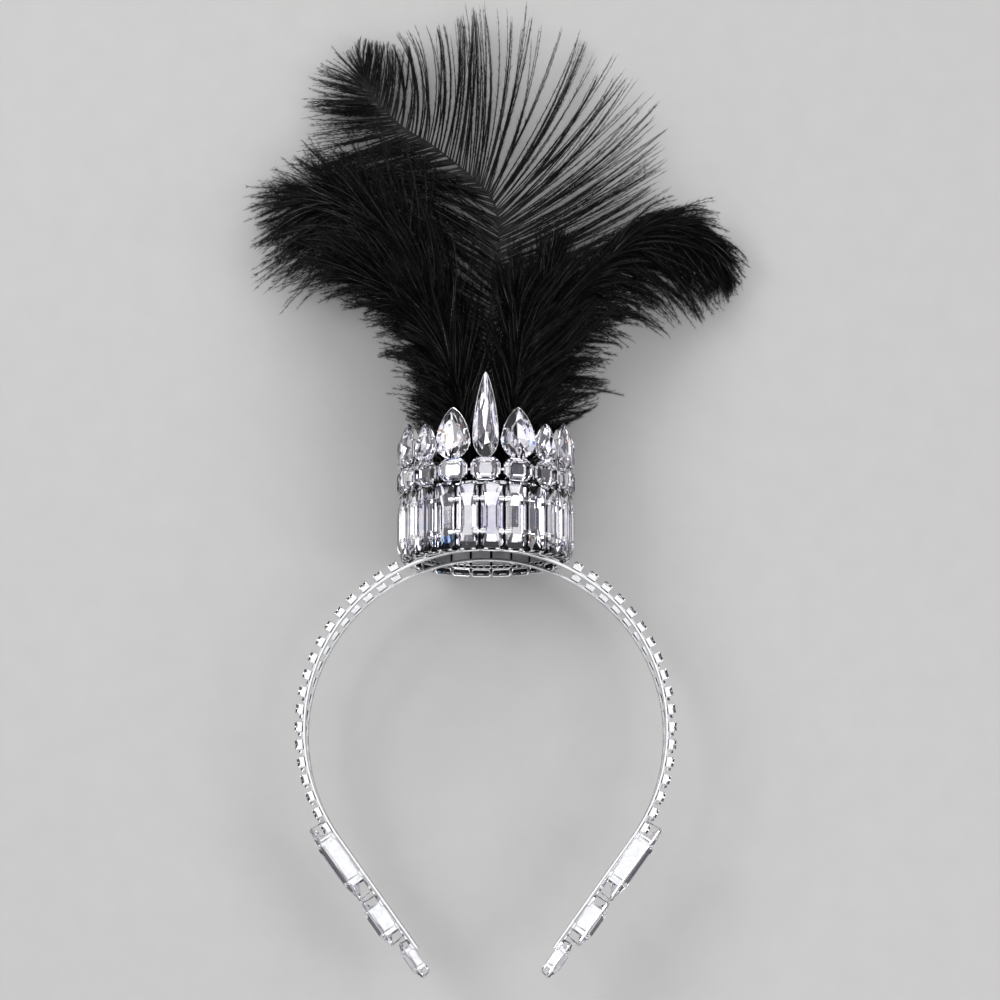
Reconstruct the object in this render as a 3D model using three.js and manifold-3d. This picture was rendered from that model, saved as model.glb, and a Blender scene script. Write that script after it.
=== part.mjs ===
// Feather crown headband, lying on the back of its crown, in millimetres.
// The crown's own frame has x to the right, y along the crown's axis from the band's tips to the plume,
// and z to the front, which is up as it lies. Its y = 0 is the crown's lower rim.
import * as THREE from 'three'
import { mergeVertices } from 'three/addons/utils/BufferGeometryUtils.js'
import Module from 'manifold-3d'

const wasm = await Module()
wasm.setup()

// General
const GAP = 0.3
const EMBED = 0.3
const CUT_MARGIN = 1
const MERGE_DISTANCE = 1e-4

// Crown
const TABLE_RADIUS = 33
const WALL_OUTER = 28
const WALL_THICK = 1
const WALL_INNER = WALL_OUTER - WALL_THICK
const FLANGE_RADIUS = 30.5
const FLANGE_THICK = 0.7
const UPPER_WALL_TOP = 36
const NOTCH = 4

// Tall stones of the crown's wall
const BAGUETTE_COUNT = 22
const BAGUETTE_WIDTH = 7.8
const BAGUETTE_HEIGHT = 24
const BAGUETTE_FOOT = 0.2
const BAGUETTE_TURN = THREE.MathUtils.degToRad(4.3)
const BAGUETTE_TABLE_RADIUS = 32.75
const BAR_WIDTH = 0.8
const BAR_HEIGHT = 16
const BAR_RADIUS = 32.2
const WINDOW_WIDTH = 5.6
const WINDOW_HEIGHT = 3.6
const WINDOW_FOOT = 1.1

// Wide stones above them
const COLUMN_COUNT = 16
const OCTAGON_WIDTH = 10
const OCTAGON_HEIGHT = 7.8
const OCTAGON_CORNER = 2.2
const LINK_RADIUS = 29.8
const LINK_THICK = 1.6
const LINK_LENGTH = 7.7
const LINK_HEIGHT = 2.4

// Stones of the top row: width, height, and the height of the widest place as a share
const POINT_KINDS = {
  drop: { width: 9.4, height: 31, waist: 0.4 },
  large: { width: 13, height: 18.4, waist: 0.36 },
  small: { width: 10, height: 14, waist: 0.36 },
  medium: { width: 11, height: 16, waist: 0.4 },
}
const POINT_ORDER = [
  'drop', 'large', 'small', 'medium', 'small', 'large', 'small', 'medium',
  'large', 'medium', 'small', 'large', 'small', 'medium', 'small', 'large',
]
const POINT_CORNERS = 10
const POINT_SLIM = 0.12
const BACK_PLATE_SCALE = 0.78
const POST_WIDTH = 1.4
const POST_HEIGHT = 1.2
const POST_RADIUS = 31.5

// Facets of every stone: shares of the outline at the table and at the back
const CUT = { tableScale: 0.72, backScale: 0.36, crown: 1.5, girdle: 0.4 }

// Headband
const BAND_RADIUS = 65.8
const BAND_CENTRE_Y = -62.8
const BAND_THICK = 1
const BAND_WIDTH = 3.6
const BAND_ARC = THREE.MathUtils.degToRad(126)
const BAND_STRAIGHT = 49
const BAND_STEPS = 43
const SPACING_TOP = 12.5
const SPACING_END = 7
const SPACING_START = THREE.MathUtils.degToRad(30)
const CUP_LENGTH = 3.8
const CUP_HEIGHT = 3.2
const CUP_WIDTH = 3.6
const CUP_PITCH = 6.15
const CUP_FIRST = 35.2
const CUPS_PER_SIDE = 18

// End stones: middle along the straight end, length, width, depth and height of the table over the strip
const END_STONES = [
  { along: 7.2, length: 31, width: 10, depth: 5.4, table: 8.6 },
  { along: 33.4, length: 18, width: 13, depth: 5.4, table: 8.6 },
  { along: 51.2, length: 14, width: 10, depth: 4, table: 6.2 },
]
const END_CORNER = 1.6
const END_BAR_LENGTH = 2.4
const END_BAR_THICK = 1
const END_BAR_PLACE = 0.27
const END_SPINE_WIDTH = 4
const END_CLAW = 1

// Plume
const BASE_Y = 12
const BASE_THICK = 2
const BASE_GAP = 0.4
const BASE_RADIUS = WALL_INNER - BASE_GAP
const QUILL = { left: 1.5, right: 1.5, thick: 1.2 }
const SHOULDER = { reach: 0.55, depth: 0.8 }
const QUILL_Y = BASE_Y + BASE_THICK + GAP

// A row for each place along a feather: its middle line, the reach to both sides of it and half its depth
const FEATHERS = {
  feather_back: {
    foot: { x: 0, z: -17 },
    places: [
      { x: 0, y: 30, z: -17, left: 8, right: 8, thick: 3.5 },
      { x: 0, y: 60, z: -17.5, left: 13, right: 13, thick: 4.2 },
      { x: 1.4, y: 100, z: -19, left: 18, right: 22, thick: 4.2 },
      { x: 4.5, y: 122, z: -20, left: 22, right: 42, thick: 4.2 },
      { x: 3.5, y: 141, z: -21, left: 24, right: 60, thick: 4.2 },
      { x: -3, y: 153, z: -21.5, left: 26, right: 62, thick: 4.2 },
      { x: -14, y: 163, z: -22, left: 30, right: 54, thick: 4 },
      { x: -26, y: 171.5, z: -22.5, left: 30, right: 52, thick: 3.6 },
      { x: -37, y: 180, z: -23, left: 24, right: 40, thick: 3 },
      { x: -47, y: 193, z: -23, left: 8, right: 14, thick: 1.5 },
    ],
  },
  feather_left: {
    foot: { x: -9, z: -6 },
    places: [
      { x: -9.5, y: 30, z: -6, left: 7, right: 6, thick: 3.5 },
      { x: -11, y: 58, z: -6, left: 9, right: 8, thick: 4 },
      { x: -18, y: 85, z: -5.5, left: 13, right: 13, thick: 4.2 },
      { x: -31, y: 109, z: -5, left: 16, right: 17, thick: 4.2 },
      { x: -47, y: 127, z: -6, left: 16, right: 20, thick: 4.2 },
      { x: -62, y: 136, z: -9, left: 14, right: 20, thick: 4 },
      { x: -75, y: 134, z: -15, left: 12, right: 14, thick: 3.6 },
      { x: -84, y: 122, z: -22, left: 14, right: 6, thick: 3.4 },
      { x: -86, y: 110, z: -28.8, left: 6, right: 3, thick: 3.4 },
    ],
  },
  feather_right: {
    foot: { x: 9, z: -6 },
    places: [
      { x: 9.5, y: 30, z: -6, left: 6, right: 7, thick: 3.5 },
      { x: 12, y: 58, z: -6, left: 8, right: 9, thick: 4 },
      { x: 22, y: 86, z: -5.5, left: 13, right: 13, thick: 4.2 },
      { x: 38, y: 110, z: -5, left: 16, right: 18, thick: 4.2 },
      { x: 56, y: 128, z: -6, left: 16, right: 20, thick: 4.2 },
      { x: 74, y: 135, z: -9, left: 12, right: 18, thick: 4 },
      { x: 88, y: 130, z: -16, left: 8, right: 16, thick: 3.6 },
      { x: 95, y: 117, z: -23, left: 6, right: 14, thick: 3.4 },
      { x: 95, y: 104, z: -28.8, left: 4, right: 6, thick: 3.4 },
    ],
  },
  feather_mid_left: {
    foot: { x: -9, z: 5 },
    places: [
      { x: -10, y: 30, z: 5, left: 8, right: 7, thick: 3.5 },
      { x: -13, y: 58, z: 5.5, left: 10, right: 10, thick: 4 },
      { x: -21, y: 84, z: 8, left: 14, right: 14, thick: 4.2 },
      { x: -33, y: 104, z: 10, left: 14, right: 15, thick: 4 },
      { x: -46, y: 114, z: 11.5, left: 10, right: 12, thick: 3.5 },
      { x: -57, y: 115, z: 11, left: 5, right: 5, thick: 2 },
    ],
  },
  feather_mid_right: {
    foot: { x: 9, z: 5 },
    places: [
      { x: 10, y: 30, z: 5, left: 7, right: 8, thick: 3.5 },
      { x: 14, y: 58, z: 5.5, left: 10, right: 10, thick: 4 },
      { x: 22, y: 88, z: 8, left: 14, right: 13, thick: 4.2 },
      { x: 30, y: 115, z: 11, left: 15, right: 14, thick: 4 },
      { x: 37, y: 138, z: 13, left: 12, right: 12, thick: 3.2 },
      { x: 42, y: 152, z: 14, left: 4, right: 4, thick: 1.5 },
    ],
  },
  feather_front_left: {
    foot: { x: -8, z: 15.5 },
    places: [
      { x: -8.5, y: 30, z: 15.5, left: 6, right: 6, thick: 3.5 },
      { x: -10, y: 55, z: 16, left: 8, right: 8, thick: 4 },
      { x: -15, y: 80, z: 19, left: 12, right: 11, thick: 4 },
      { x: -22, y: 100, z: 21.5, left: 11, right: 10, thick: 3.5 },
      { x: -29, y: 114, z: 23, left: 4, right: 4, thick: 1.5 },
    ],
  },
  feather_front_right: {
    foot: { x: 8, z: 15.5 },
    places: [
      { x: 8.5, y: 30, z: 15.5, left: 6, right: 6, thick: 3.5 },
      { x: 9, y: 55, z: 16, left: 8, right: 8, thick: 4 },
      { x: 10, y: 80, z: 19, left: 10, right: 12, thick: 4 },
      { x: 8, y: 100, z: 21.5, left: 9, right: 11, thick: 3.5 },
      { x: 5, y: 116, z: 23, left: 4, right: 4, thick: 1.5 },
    ],
  },
}

const silver = new THREE.MeshStandardMaterial({ color: 0xd8dade, roughness: 0.18, metalness: 1 })
const crystal = new THREE.MeshStandardMaterial({ color: 0xe9eaf6, roughness: 0.03, metalness: 0 })
const plume = new THREE.MeshStandardMaterial({ color: 0x0b0b0d, roughness: 0.55, metalness: 0 })
const felt = new THREE.MeshStandardMaterial({ color: 0x141416, roughness: 0.95, metalness: 0 })

// A closed surface through rings of points, each ring counter-clockwise about the way from first to last
function loft(rings) {
  const count = rings[0].length
  const last = (rings.length - 1) * count
  const index = []
  for (let start = 0; start < last; start += count) {
    for (let i = 0; i < count; i++) {
      const a = start + i
      const b = start + ((i + 1) % count)
      index.push(a, b, b + count, a, b + count, a + count)
    }
  }
  for (let i = 1; i < count - 1; i++) {
    index.push(0, i + 1, i)
    index.push(last, last + i, last + i + 1)
  }
  const geometry = new THREE.BufferGeometry().setFromPoints(rings.flat())
  geometry.setIndex(index)
  return geometry
}

function toSolid(geometry) {
  const bare = geometry.clone()
  bare.deleteAttribute('normal')
  bare.deleteAttribute('uv')
  const merged = mergeVertices(bare, MERGE_DISTANCE)
  const mesh = new wasm.Mesh({
    numProp: 3,
    vertProperties: new Float32Array(merged.attributes.position.array),
    triVerts: new Uint32Array(merged.index.array),
  })
  return new wasm.Manifold(mesh)
}

function toGeometry(solid) {
  const mesh = solid.getMesh()
  const geometry = new THREE.BufferGeometry()
  geometry.setAttribute('position', new THREE.BufferAttribute(mesh.vertProperties, 3))
  geometry.setIndex(new THREE.BufferAttribute(mesh.triVerts, 1))
  return geometry
}

function joined(geometries) {
  return geometries.map(toSolid).reduce((whole, piece) => whole.add(piece))
}

function cutAway(solid, geometries) {
  return geometries.map(toSolid).reduce((rest, piece) => rest.subtract(piece), solid)
}

// A named mesh, added to its group
function addMesh(group, name, geometry, material) {
  geometry.computeVertexNormals()
  const mesh = new THREE.Mesh(geometry, material)
  mesh.name = name
  group.add(mesh)
  return mesh
}

// A geometry turned to an angle round the crown's axis, from the front towards the right
function turned(geometry, angle) {
  return geometry.rotateY(angle)
}

function numbered(word, i) {
  return `${word}_${String(i + 1).padStart(2, '0')}`
}

// Outlines of stones, counter-clockwise in x and y about the stone's middle
function rectangleOutline(width, height) {
  return [[1, -1], [1, 1], [-1, 1], [-1, -1]].map(
    ([sx, sy]) => new THREE.Vector2((sx * width) / 2, (sy * height) / 2),
  )
}

function octagonOutline(width, height, corner) {
  const w = width / 2
  const h = height / 2
  return [
    [w, -h + corner], [w, h - corner], [w - corner, h], [-w + corner, h],
    [-w, h - corner], [-w, -h + corner], [-w + corner, -h], [w - corner, -h],
  ].map(([x, y]) => new THREE.Vector2(x, y))
}

// A round foot and a pointed head that meet at the waist
function pearOutline({ width, height, waist }) {
  const waistY = height * (waist - 0.5)
  const points = []
  for (let i = 0; i < POINT_CORNERS; i++) {
    const angle = (i / POINT_CORNERS) * Math.PI * 2 - Math.PI / 2
    const side = Math.cos(angle)
    const rise = Math.sin(angle)
    const reach = rise > 0 ? height * (1 - waist) : height * waist
    const narrowing = rise > 0 ? Math.pow(1 - rise, POINT_SLIM) : 1
    points.push(new THREE.Vector2((side * narrowing * width) / 2, waistY + rise * reach))
  }
  return points
}

// A cut stone whose table lies at z = 0 and whose back lies at z = -depth
function stone(outline, depth) {
  const centre = new THREE.Vector2()
  outline.forEach((point) => centre.addScaledVector(point, 1 / outline.length))
  const ring = (scale, z) => outline.map((point) => {
    const placed = point.clone().sub(centre).multiplyScalar(scale).add(centre)
    return new THREE.Vector3(placed.x, placed.y, z)
  })
  return loft([
    ring(CUT.backScale, -depth),
    ring(1, -CUT.crown - CUT.girdle),
    ring(1, -CUT.crown),
    ring(CUT.tableScale, 0),
  ])
}

// A ring of flat sides round the crown's axis, from one height to another
function sidedRing(sides, inner, outer, low, high, turn) {
  const corners = (radius) => Array.from({ length: sides }, (unused, i) => {
    const angle = turn + ((i + 0.5) / sides) * Math.PI * 2
    const reach = radius / Math.cos(Math.PI / sides)
    return new THREE.Vector2(reach * Math.sin(angle), reach * Math.cos(angle))
  })
  const shape = new THREE.Shape(corners(outer))
  shape.holes.push(new THREE.Path(corners(inner).reverse()))
  const ring = new THREE.ExtrudeGeometry(shape, { depth: high - low, bevelEnabled: false })
  // The shape's x and y become the crown's x and z
  const toCrown = new THREE.Matrix4().makeBasis(
    new THREE.Vector3(1, 0, 0), new THREE.Vector3(0, 0, 1), new THREE.Vector3(0, -1, 0),
  )
  return ring.applyMatrix4(toCrown).translate(0, high, 0)
}

// A box whose middle stands at a radius and height, turned to an angle round the crown
function boxAt(angle, width, height, innerRadius, outerRadius, middleY) {
  const depth = outerRadius - innerRadius
  const box = new THREE.BoxGeometry(width, height, depth)
  return turned(box.translate(0, middleY, innerRadius + depth / 2), angle)
}

const baguetteAngle = (i) => BAGUETTE_TURN + (i / BAGUETTE_COUNT) * Math.PI * 2
const columnAngle = (i) => (i / COLUMN_COUNT) * Math.PI * 2
const BAGUETTE_TOP = BAGUETTE_FOOT + BAGUETTE_HEIGHT
const FLANGE_TOP = BAGUETTE_TOP + GAP + FLANGE_THICK
const OCTAGON_Y = FLANGE_TOP + GAP + OCTAGON_HEIGHT / 2
const POINT_FOOT = OCTAGON_Y + OCTAGON_HEIGHT / 2 + GAP
const STONE_BACK = WALL_OUTER + GAP
const TOP_DEPTH = TABLE_RADIUS - STONE_BACK
const pointMiddle = (kind) => POINT_FOOT + kind.height / 2

// Where a strip runs: a round arch that ends in two straight, inward leaning stretches
function bandPlace(s) {
  const side = Math.sign(s)
  const arcLength = BAND_RADIUS * BAND_ARC
  const angle = side * Math.min(Math.abs(s) / BAND_RADIUS, BAND_ARC)
  const past = side * Math.max(Math.abs(s) - arcLength, 0)
  const outward = new THREE.Vector2(Math.sin(angle), Math.cos(angle))
  const along = new THREE.Vector2(Math.cos(angle), -Math.sin(angle))
  const middle = outward.clone().multiplyScalar(BAND_RADIUS).addScaledVector(along, past)
  middle.y += BAND_CENTRE_Y
  const share = THREE.MathUtils.smoothstep(Math.abs(angle), SPACING_START, BAND_ARC)
  const spacing = THREE.MathUtils.lerp(SPACING_TOP, SPACING_END, share)
  return { middle, outward, angle, spacing }
}

// A strip, or with room round it and open space under it, the notch that it needs
function stripLoft(front, room, under) {
  const halfLength = BAND_RADIUS * BAND_ARC + BAND_STRAIGHT
  const arcLength = BAND_RADIUS * BAND_ARC
  const inner = -BAND_THICK / 2 - room - under
  const outer = BAND_THICK / 2 + room
  const halfWidth = BAND_WIDTH / 2 + room
  const corners = [[inner, -halfWidth], [outer, -halfWidth], [outer, halfWidth], [inner, halfWidth]]
  const stops = [-halfLength]
  for (let i = 0; i <= BAND_STEPS; i++) {
    stops.push(THREE.MathUtils.lerp(-arcLength, arcLength, i / BAND_STEPS))
  }
  stops.push(halfLength)
  const rings = stops.map((s) => {
    const place = bandPlace(s)
    return corners.map(([out, depth]) => {
      const spot = place.middle.clone().addScaledVector(place.outward, out)
      return new THREE.Vector3(spot.x, spot.y, front * place.spacing + depth)
    })
  })
  return loft(rings)
}

function cups(front) {
  const boxes = []
  for (const side of [-1, 1]) {
    for (let i = 0; i < CUPS_PER_SIDE; i++) {
      const place = bandPlace(side * (CUP_FIRST + i * CUP_PITCH))
      const lift = BAND_THICK / 2 + CUP_HEIGHT / 2 - EMBED
      const spot = place.middle.clone().addScaledVector(place.outward, lift)
      const box = new THREE.BoxGeometry(CUP_LENGTH, CUP_HEIGHT, CUP_WIDTH).rotateZ(-place.angle)
      boxes.push(box.translate(spot.x, spot.y, front * place.spacing))
    }
  }
  return boxes
}

function addBands(group) {
  for (const [name, front] of [['band_front', 1], ['band_back', -1]]) {
    addMesh(group, name, toGeometry(joined([stripLoft(front, 0, 0), ...cups(front)])), silver)
  }
}

// The cage: two rings of flat sides, a flange between them, backs for the top row, bars and posts
function crownFrame() {
  const flangeFoot = FLANGE_TOP - FLANGE_THICK
  const pieces = [
    sidedRing(BAGUETTE_COUNT, WALL_INNER, WALL_OUTER, 0, flangeFoot + EMBED, BAGUETTE_TURN),
    sidedRing(BAGUETTE_COUNT, WALL_INNER, FLANGE_RADIUS, flangeFoot, FLANGE_TOP, BAGUETTE_TURN),
    sidedRing(COLUMN_COUNT, WALL_INNER, WALL_OUTER, FLANGE_TOP - EMBED, UPPER_WALL_TOP, 0),
  ]
  const windows = []
  for (let i = 0; i < BAGUETTE_COUNT; i++) {
    const angle = baguetteAngle(i)
    const between = angle + Math.PI / BAGUETTE_COUNT
    const middle = BAGUETTE_FOOT + BAGUETTE_HEIGHT / 2
    pieces.push(boxAt(between, BAR_WIDTH, BAR_HEIGHT, WALL_OUTER - EMBED, BAR_RADIUS, middle))
    const windowMiddle = WINDOW_FOOT + WINDOW_HEIGHT / 2
    const windowInner = WALL_INNER - CUT_MARGIN
    const windowOuter = WALL_OUTER + CUT_MARGIN
    windows.push(boxAt(angle, WINDOW_WIDTH, WINDOW_HEIGHT, windowInner, windowOuter, windowMiddle))
  }
  POINT_ORDER.forEach((word, i) => {
    const kind = POINT_KINDS[word]
    const outline = pearOutline(kind).map((point) => point.multiplyScalar(BACK_PLATE_SCALE))
    const shape = new THREE.Shape(outline)
    const plate = new THREE.ExtrudeGeometry(shape, { depth: WALL_THICK, bevelEnabled: false })
    const plateMiddle = POINT_FOOT + (kind.height * BACK_PLATE_SCALE) / 2
    pieces.push(turned(plate.translate(0, plateMiddle, WALL_INNER), columnAngle(i)))
    const postAngle = columnAngle(i + 0.5)
    const postY = UPPER_WALL_TOP - POST_HEIGHT
    pieces.push(boxAt(postAngle, POST_WIDTH, POST_HEIGHT, WALL_OUTER - EMBED, POST_RADIUS, postY))
  })
  return cutAway(joined(pieces), [...windows, stripLoft(1, GAP, NOTCH), stripLoft(-1, GAP, NOTCH)])
}

function addBaguettes(group) {
  const outline = rectangleOutline(BAGUETTE_WIDTH, BAGUETTE_HEIGHT)
  const depth = BAGUETTE_TABLE_RADIUS - STONE_BACK
  for (let i = 0; i < BAGUETTE_COUNT; i++) {
    const holder = new THREE.Group()
    holder.rotation.y = baguetteAngle(i)
    group.add(holder)
    const mesh = addMesh(holder, numbered('baguette', i), stone(outline, depth), crystal)
    mesh.position.set(0, BAGUETTE_FOOT + BAGUETTE_HEIGHT / 2, BAGUETTE_TABLE_RADIUS)
  }
}

function octagonRow() {
  const outline = octagonOutline(OCTAGON_WIDTH, OCTAGON_HEIGHT, OCTAGON_CORNER)
  const pieces = []
  for (let i = 0; i < COLUMN_COUNT; i++) {
    pieces.push(turned(stone(outline, TOP_DEPTH).translate(0, OCTAGON_Y, TABLE_RADIUS), columnAngle(i)))
    const inner = LINK_RADIUS - LINK_THICK / 2
    const outer = LINK_RADIUS + LINK_THICK / 2
    pieces.push(boxAt(columnAngle(i + 0.5), LINK_LENGTH, LINK_HEIGHT, inner, outer, OCTAGON_Y))
  }
  return joined(pieces)
}

function addPoints(group) {
  POINT_ORDER.forEach((word, i) => {
    const kind = POINT_KINDS[word]
    const holder = new THREE.Group()
    holder.rotation.y = columnAngle(i)
    group.add(holder)
    const mesh = addMesh(holder, numbered('point', i), stone(pearOutline(kind), TOP_DEPTH), crystal)
    mesh.position.set(0, pointMiddle(kind), TABLE_RADIUS)
  })
}

// One end's setting in its own frame: x along the straight end, y outward from the strips
function endSetting(side) {
  const low = BAND_THICK / 2 + GAP
  const reach = SPACING_END + BAND_WIDTH / 2
  const bars = END_STONES.flatMap((row) => [-END_BAR_PLACE, END_BAR_PLACE].map(
    (place) => ({ along: row.along + place * row.length, row }),
  ))
  const first = bars[0].along
  const last = bars[bars.length - 1].along
  const spine = new THREE.BoxGeometry(last - first, END_BAR_THICK, END_SPINE_WIDTH)
  const pieces = [spine.translate((side * (first + last)) / 2, low + END_BAR_THICK / 2, 0)]
  for (const { along, row } of bars) {
    const bar = new THREE.BoxGeometry(END_BAR_LENGTH, END_BAR_THICK, reach * 2)
    pieces.push(bar.translate(side * along, low + END_BAR_THICK / 2, 0))
    const top = row.table - CUT.crown / 2
    for (const face of [-1, 1]) {
      const claw = new THREE.BoxGeometry(END_BAR_LENGTH, top - low, END_CLAW)
      const z = face * (row.width / 2 + GAP + END_CLAW / 2)
      pieces.push(claw.translate(side * along, (low + top) / 2, z))
    }
  }
  return joined(pieces)
}

function addEnds(group) {
  const along = new THREE.Vector3(1, 0, 0)
  const outward = new THREE.Vector3(0, 1, 0)
  const across = new THREE.Vector3(0, 0, 1)
  const facing = new THREE.Matrix4().makeBasis(across, along, outward)
  for (const [word, side] of [['left', -1], ['right', 1]]) {
    const end = new THREE.Group()
    const place = bandPlace(side * BAND_RADIUS * BAND_ARC)
    end.position.set(place.middle.x, place.middle.y, 0)
    end.rotation.z = -place.angle
    group.add(end)
    addMesh(end, `${word}_end_setting`, toGeometry(endSetting(side)), silver)
    END_STONES.forEach((row, i) => {
      const outline = octagonOutline(row.width, row.length, END_CORNER)
      const mesh = addMesh(end, `${word}_end_stone_${i + 1}`, stone(outline, row.depth), crystal)
      mesh.setRotationFromMatrix(facing)
      mesh.position.set(side * row.along, row.table, 0)
    })
  }
}

// A leaf-like solid round a feather's middle line
function feather({ foot, places }) {
  const rows = [{ ...foot, y: QUILL_Y, ...QUILL }, ...places]
  const rings = rows.map((row, i) => {
    const before = rows[Math.max(i - 1, 0)]
    const after = rows[Math.min(i + 1, rows.length - 1)]
    const way = new THREE.Vector2(after.x - before.x, after.y - before.y).normalize()
    const at = (side, rise) => {
      const across = side > 0 ? side * row.right : side * row.left
      return new THREE.Vector3(row.x + way.y * across, row.y - way.x * across, row.z + rise * row.thick)
    }
    const { reach, depth } = SHOULDER
    return [
      at(0, 1), at(reach, depth), at(1, 0), at(reach, -depth),
      at(0, -1), at(-reach, -depth), at(-1, 0), at(-reach, depth),
    ]
  })
  return loft(rings)
}

function addPlume(group) {
  const base = new THREE.CylinderGeometry(BASE_RADIUS, BASE_RADIUS, BASE_THICK, BAGUETTE_COUNT)
  addMesh(group, 'plume_base', base, felt).position.y = BASE_Y + BASE_THICK / 2
  for (const [name, rows] of Object.entries(FEATHERS)) {
    addMesh(group, name, feather(rows), plume)
  }
}

const headpiece = new THREE.Group()
addBands(headpiece)
addEnds(headpiece)
addMesh(headpiece, 'crown_frame', toGeometry(crownFrame()), silver)
addBaguettes(headpiece)
addMesh(headpiece, 'octagon_row', toGeometry(octagonRow()), crystal)
addPoints(headpiece)
addPlume(headpiece)

// The origin is the middle of the footprint, on the surface that the crown's back lies on
headpiece.updateMatrixWorld(true)
const bounds = new THREE.Box3().setFromObject(headpiece, true)
const middle = bounds.getCenter(new THREE.Vector3())
headpiece.position.set(-middle.x, -middle.y, -bounds.min.z)
headpiece.updateMatrixWorld(true)

export default headpiece
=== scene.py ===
# %% [markdown]
# Feather crown headband
#
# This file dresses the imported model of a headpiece: a band of two silver strips, a round crown of cut
# glass in claw settings, and a plume of black feathers that grows out of the crown. It lies on the
# crown's back, so the crown's front looks up at the camera.
#
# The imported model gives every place. The crown's own frame has x to the right, y along the crown's axis
# from the band's tips to the plume, and z to the front. Its middle is read from the model, and all
# lengths below are millimetres in that frame. Blender counts in metres, so one function turns the first
# into the second.

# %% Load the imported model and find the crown's own frame
import math

import bmesh
import bpy
import numpy as np
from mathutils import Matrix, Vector


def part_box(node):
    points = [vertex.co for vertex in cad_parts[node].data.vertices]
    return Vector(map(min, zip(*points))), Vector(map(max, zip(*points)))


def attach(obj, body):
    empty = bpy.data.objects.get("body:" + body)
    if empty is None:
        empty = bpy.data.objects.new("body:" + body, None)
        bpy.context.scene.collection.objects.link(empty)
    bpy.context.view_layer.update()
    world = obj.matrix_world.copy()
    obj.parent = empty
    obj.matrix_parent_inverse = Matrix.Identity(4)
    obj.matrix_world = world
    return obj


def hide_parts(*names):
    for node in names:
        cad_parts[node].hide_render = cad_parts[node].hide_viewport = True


MM = 0.001

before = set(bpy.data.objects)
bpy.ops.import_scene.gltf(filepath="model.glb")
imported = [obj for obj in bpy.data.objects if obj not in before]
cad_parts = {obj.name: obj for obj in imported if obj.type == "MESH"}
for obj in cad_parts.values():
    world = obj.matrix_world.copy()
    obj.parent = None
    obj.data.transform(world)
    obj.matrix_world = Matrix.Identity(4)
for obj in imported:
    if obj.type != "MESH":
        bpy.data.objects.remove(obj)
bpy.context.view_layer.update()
crown_low, crown_high = (np.array(corner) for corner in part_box("crown_frame"))
crown_middle = (crown_low + crown_high) / 2
CROWN = np.array([crown_middle[0], crown_low[1], crown_middle[2]])


def to_model(points):
    """Points of the crown's frame, in millimetres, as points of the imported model, in metres."""
    return np.asarray(points, float) * MM + CROWN


print("nodes of the packed model:", len(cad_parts))
print("crown's rim middle, metres:", CROWN.round(5))

# %% [markdown]
# Camera and light
#
# The photograph looks down on the headpiece from nearly straight above, a little from the side of the
# band's tips, through a long lens. A lens of 97 mm at one metre gives the same 0.372 mm to a pixel and
# the same small perspective.
#
# Cut glass and mirror metal only sparkle when they have something bright and something dark to show. A
# bright sky all round would make them flat and grey. So the light is six soft panels in a dim room: two
# wide ones overhead for the crown and the band, a key at the left, a fill at the right, one low behind
# the plume and one at the foot.

# %% Camera at the photograph's angle
PIXEL_MM = 0.372
PHOTO_PIXELS = 1000
SENSOR_MM = 36
CAMERA_DISTANCE = 1000
CAMERA_TILT = math.radians(10.7)
LOOKED_AT = np.array([5.2, 23.5, 0.0])

away = np.array([0.0, -math.sin(CAMERA_TILT), math.cos(CAMERA_TILT)])
lens = bpy.data.cameras.new("camera")
lens.sensor_width = SENSOR_MM
lens.lens = SENSOR_MM * CAMERA_DISTANCE / (PHOTO_PIXELS * PIXEL_MM)
camera = bpy.data.objects.new("camera", lens)
camera.location = to_model(LOOKED_AT + away * CAMERA_DISTANCE)
camera.rotation_euler = (CAMERA_TILT, 0, 0)
bpy.context.scene.collection.objects.link(camera)
bpy.context.scene.camera = camera
print("lens, mm:", round(lens.lens, 1))

# %% Soft panels and a dim room
ROOM = (0.12, 0.12, 0.13)
PANEL_AIM = np.array([0.0, 20.0, 0.0])
PANELS = {
    "crown_panel": {"place": (0, 740, 1180), "size": (2.3, 1.15), "watts": 5.6},
    "band_panel": {"place": (0, -240, 1180), "size": (2.3, 0.95), "watts": 7.1},
    "key_panel": {"place": (-640, 300, 720), "size": (0.35, 0.45), "watts": 3.0},
    "fill_panel": {"place": (640, -200, 680), "size": (0.3, 0.5), "watts": 2.0},
    "plume_panel": {"place": (120, 720, 420), "size": (0.8, 0.3), "watts": 1.5},
    "foot_panel": {"place": (0, -820, 420), "size": (1.6, 0.7), "watts": 3.6},
}


def soft_panel(name, place, size, watts):
    light = bpy.data.lights.new(name, "AREA")
    light.shape = "RECTANGLE"
    light.size, light.size_y = size
    light.energy = watts
    panel = bpy.data.objects.new(name, light)
    panel.location = to_model(place)
    aim = Vector(PANEL_AIM - np.array(place, float))
    panel.rotation_euler = aim.to_track_quat("-Z", "Y").to_euler()
    bpy.context.scene.collection.objects.link(panel)


for panel_name, panel_values in PANELS.items():
    soft_panel(panel_name, **panel_values)
room = bpy.data.worlds.new("room")
room.use_nodes = True
room.node_tree.nodes["Background"].inputs["Color"].default_value = (*ROOM, 1)
bpy.context.scene.world = room
bpy.context.scene.view_settings.view_transform = "Standard"
print("panels:", len(PANELS))

# %% [markdown]
# A way to write finishes
#
# Every finish is a node tree. It could be wired node by node, but a sum or a product is easier to read
# than the five lines that wire it. So this small class wraps a socket: arithmetic on it adds Math nodes,
# and one method makes any other node.


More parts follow.
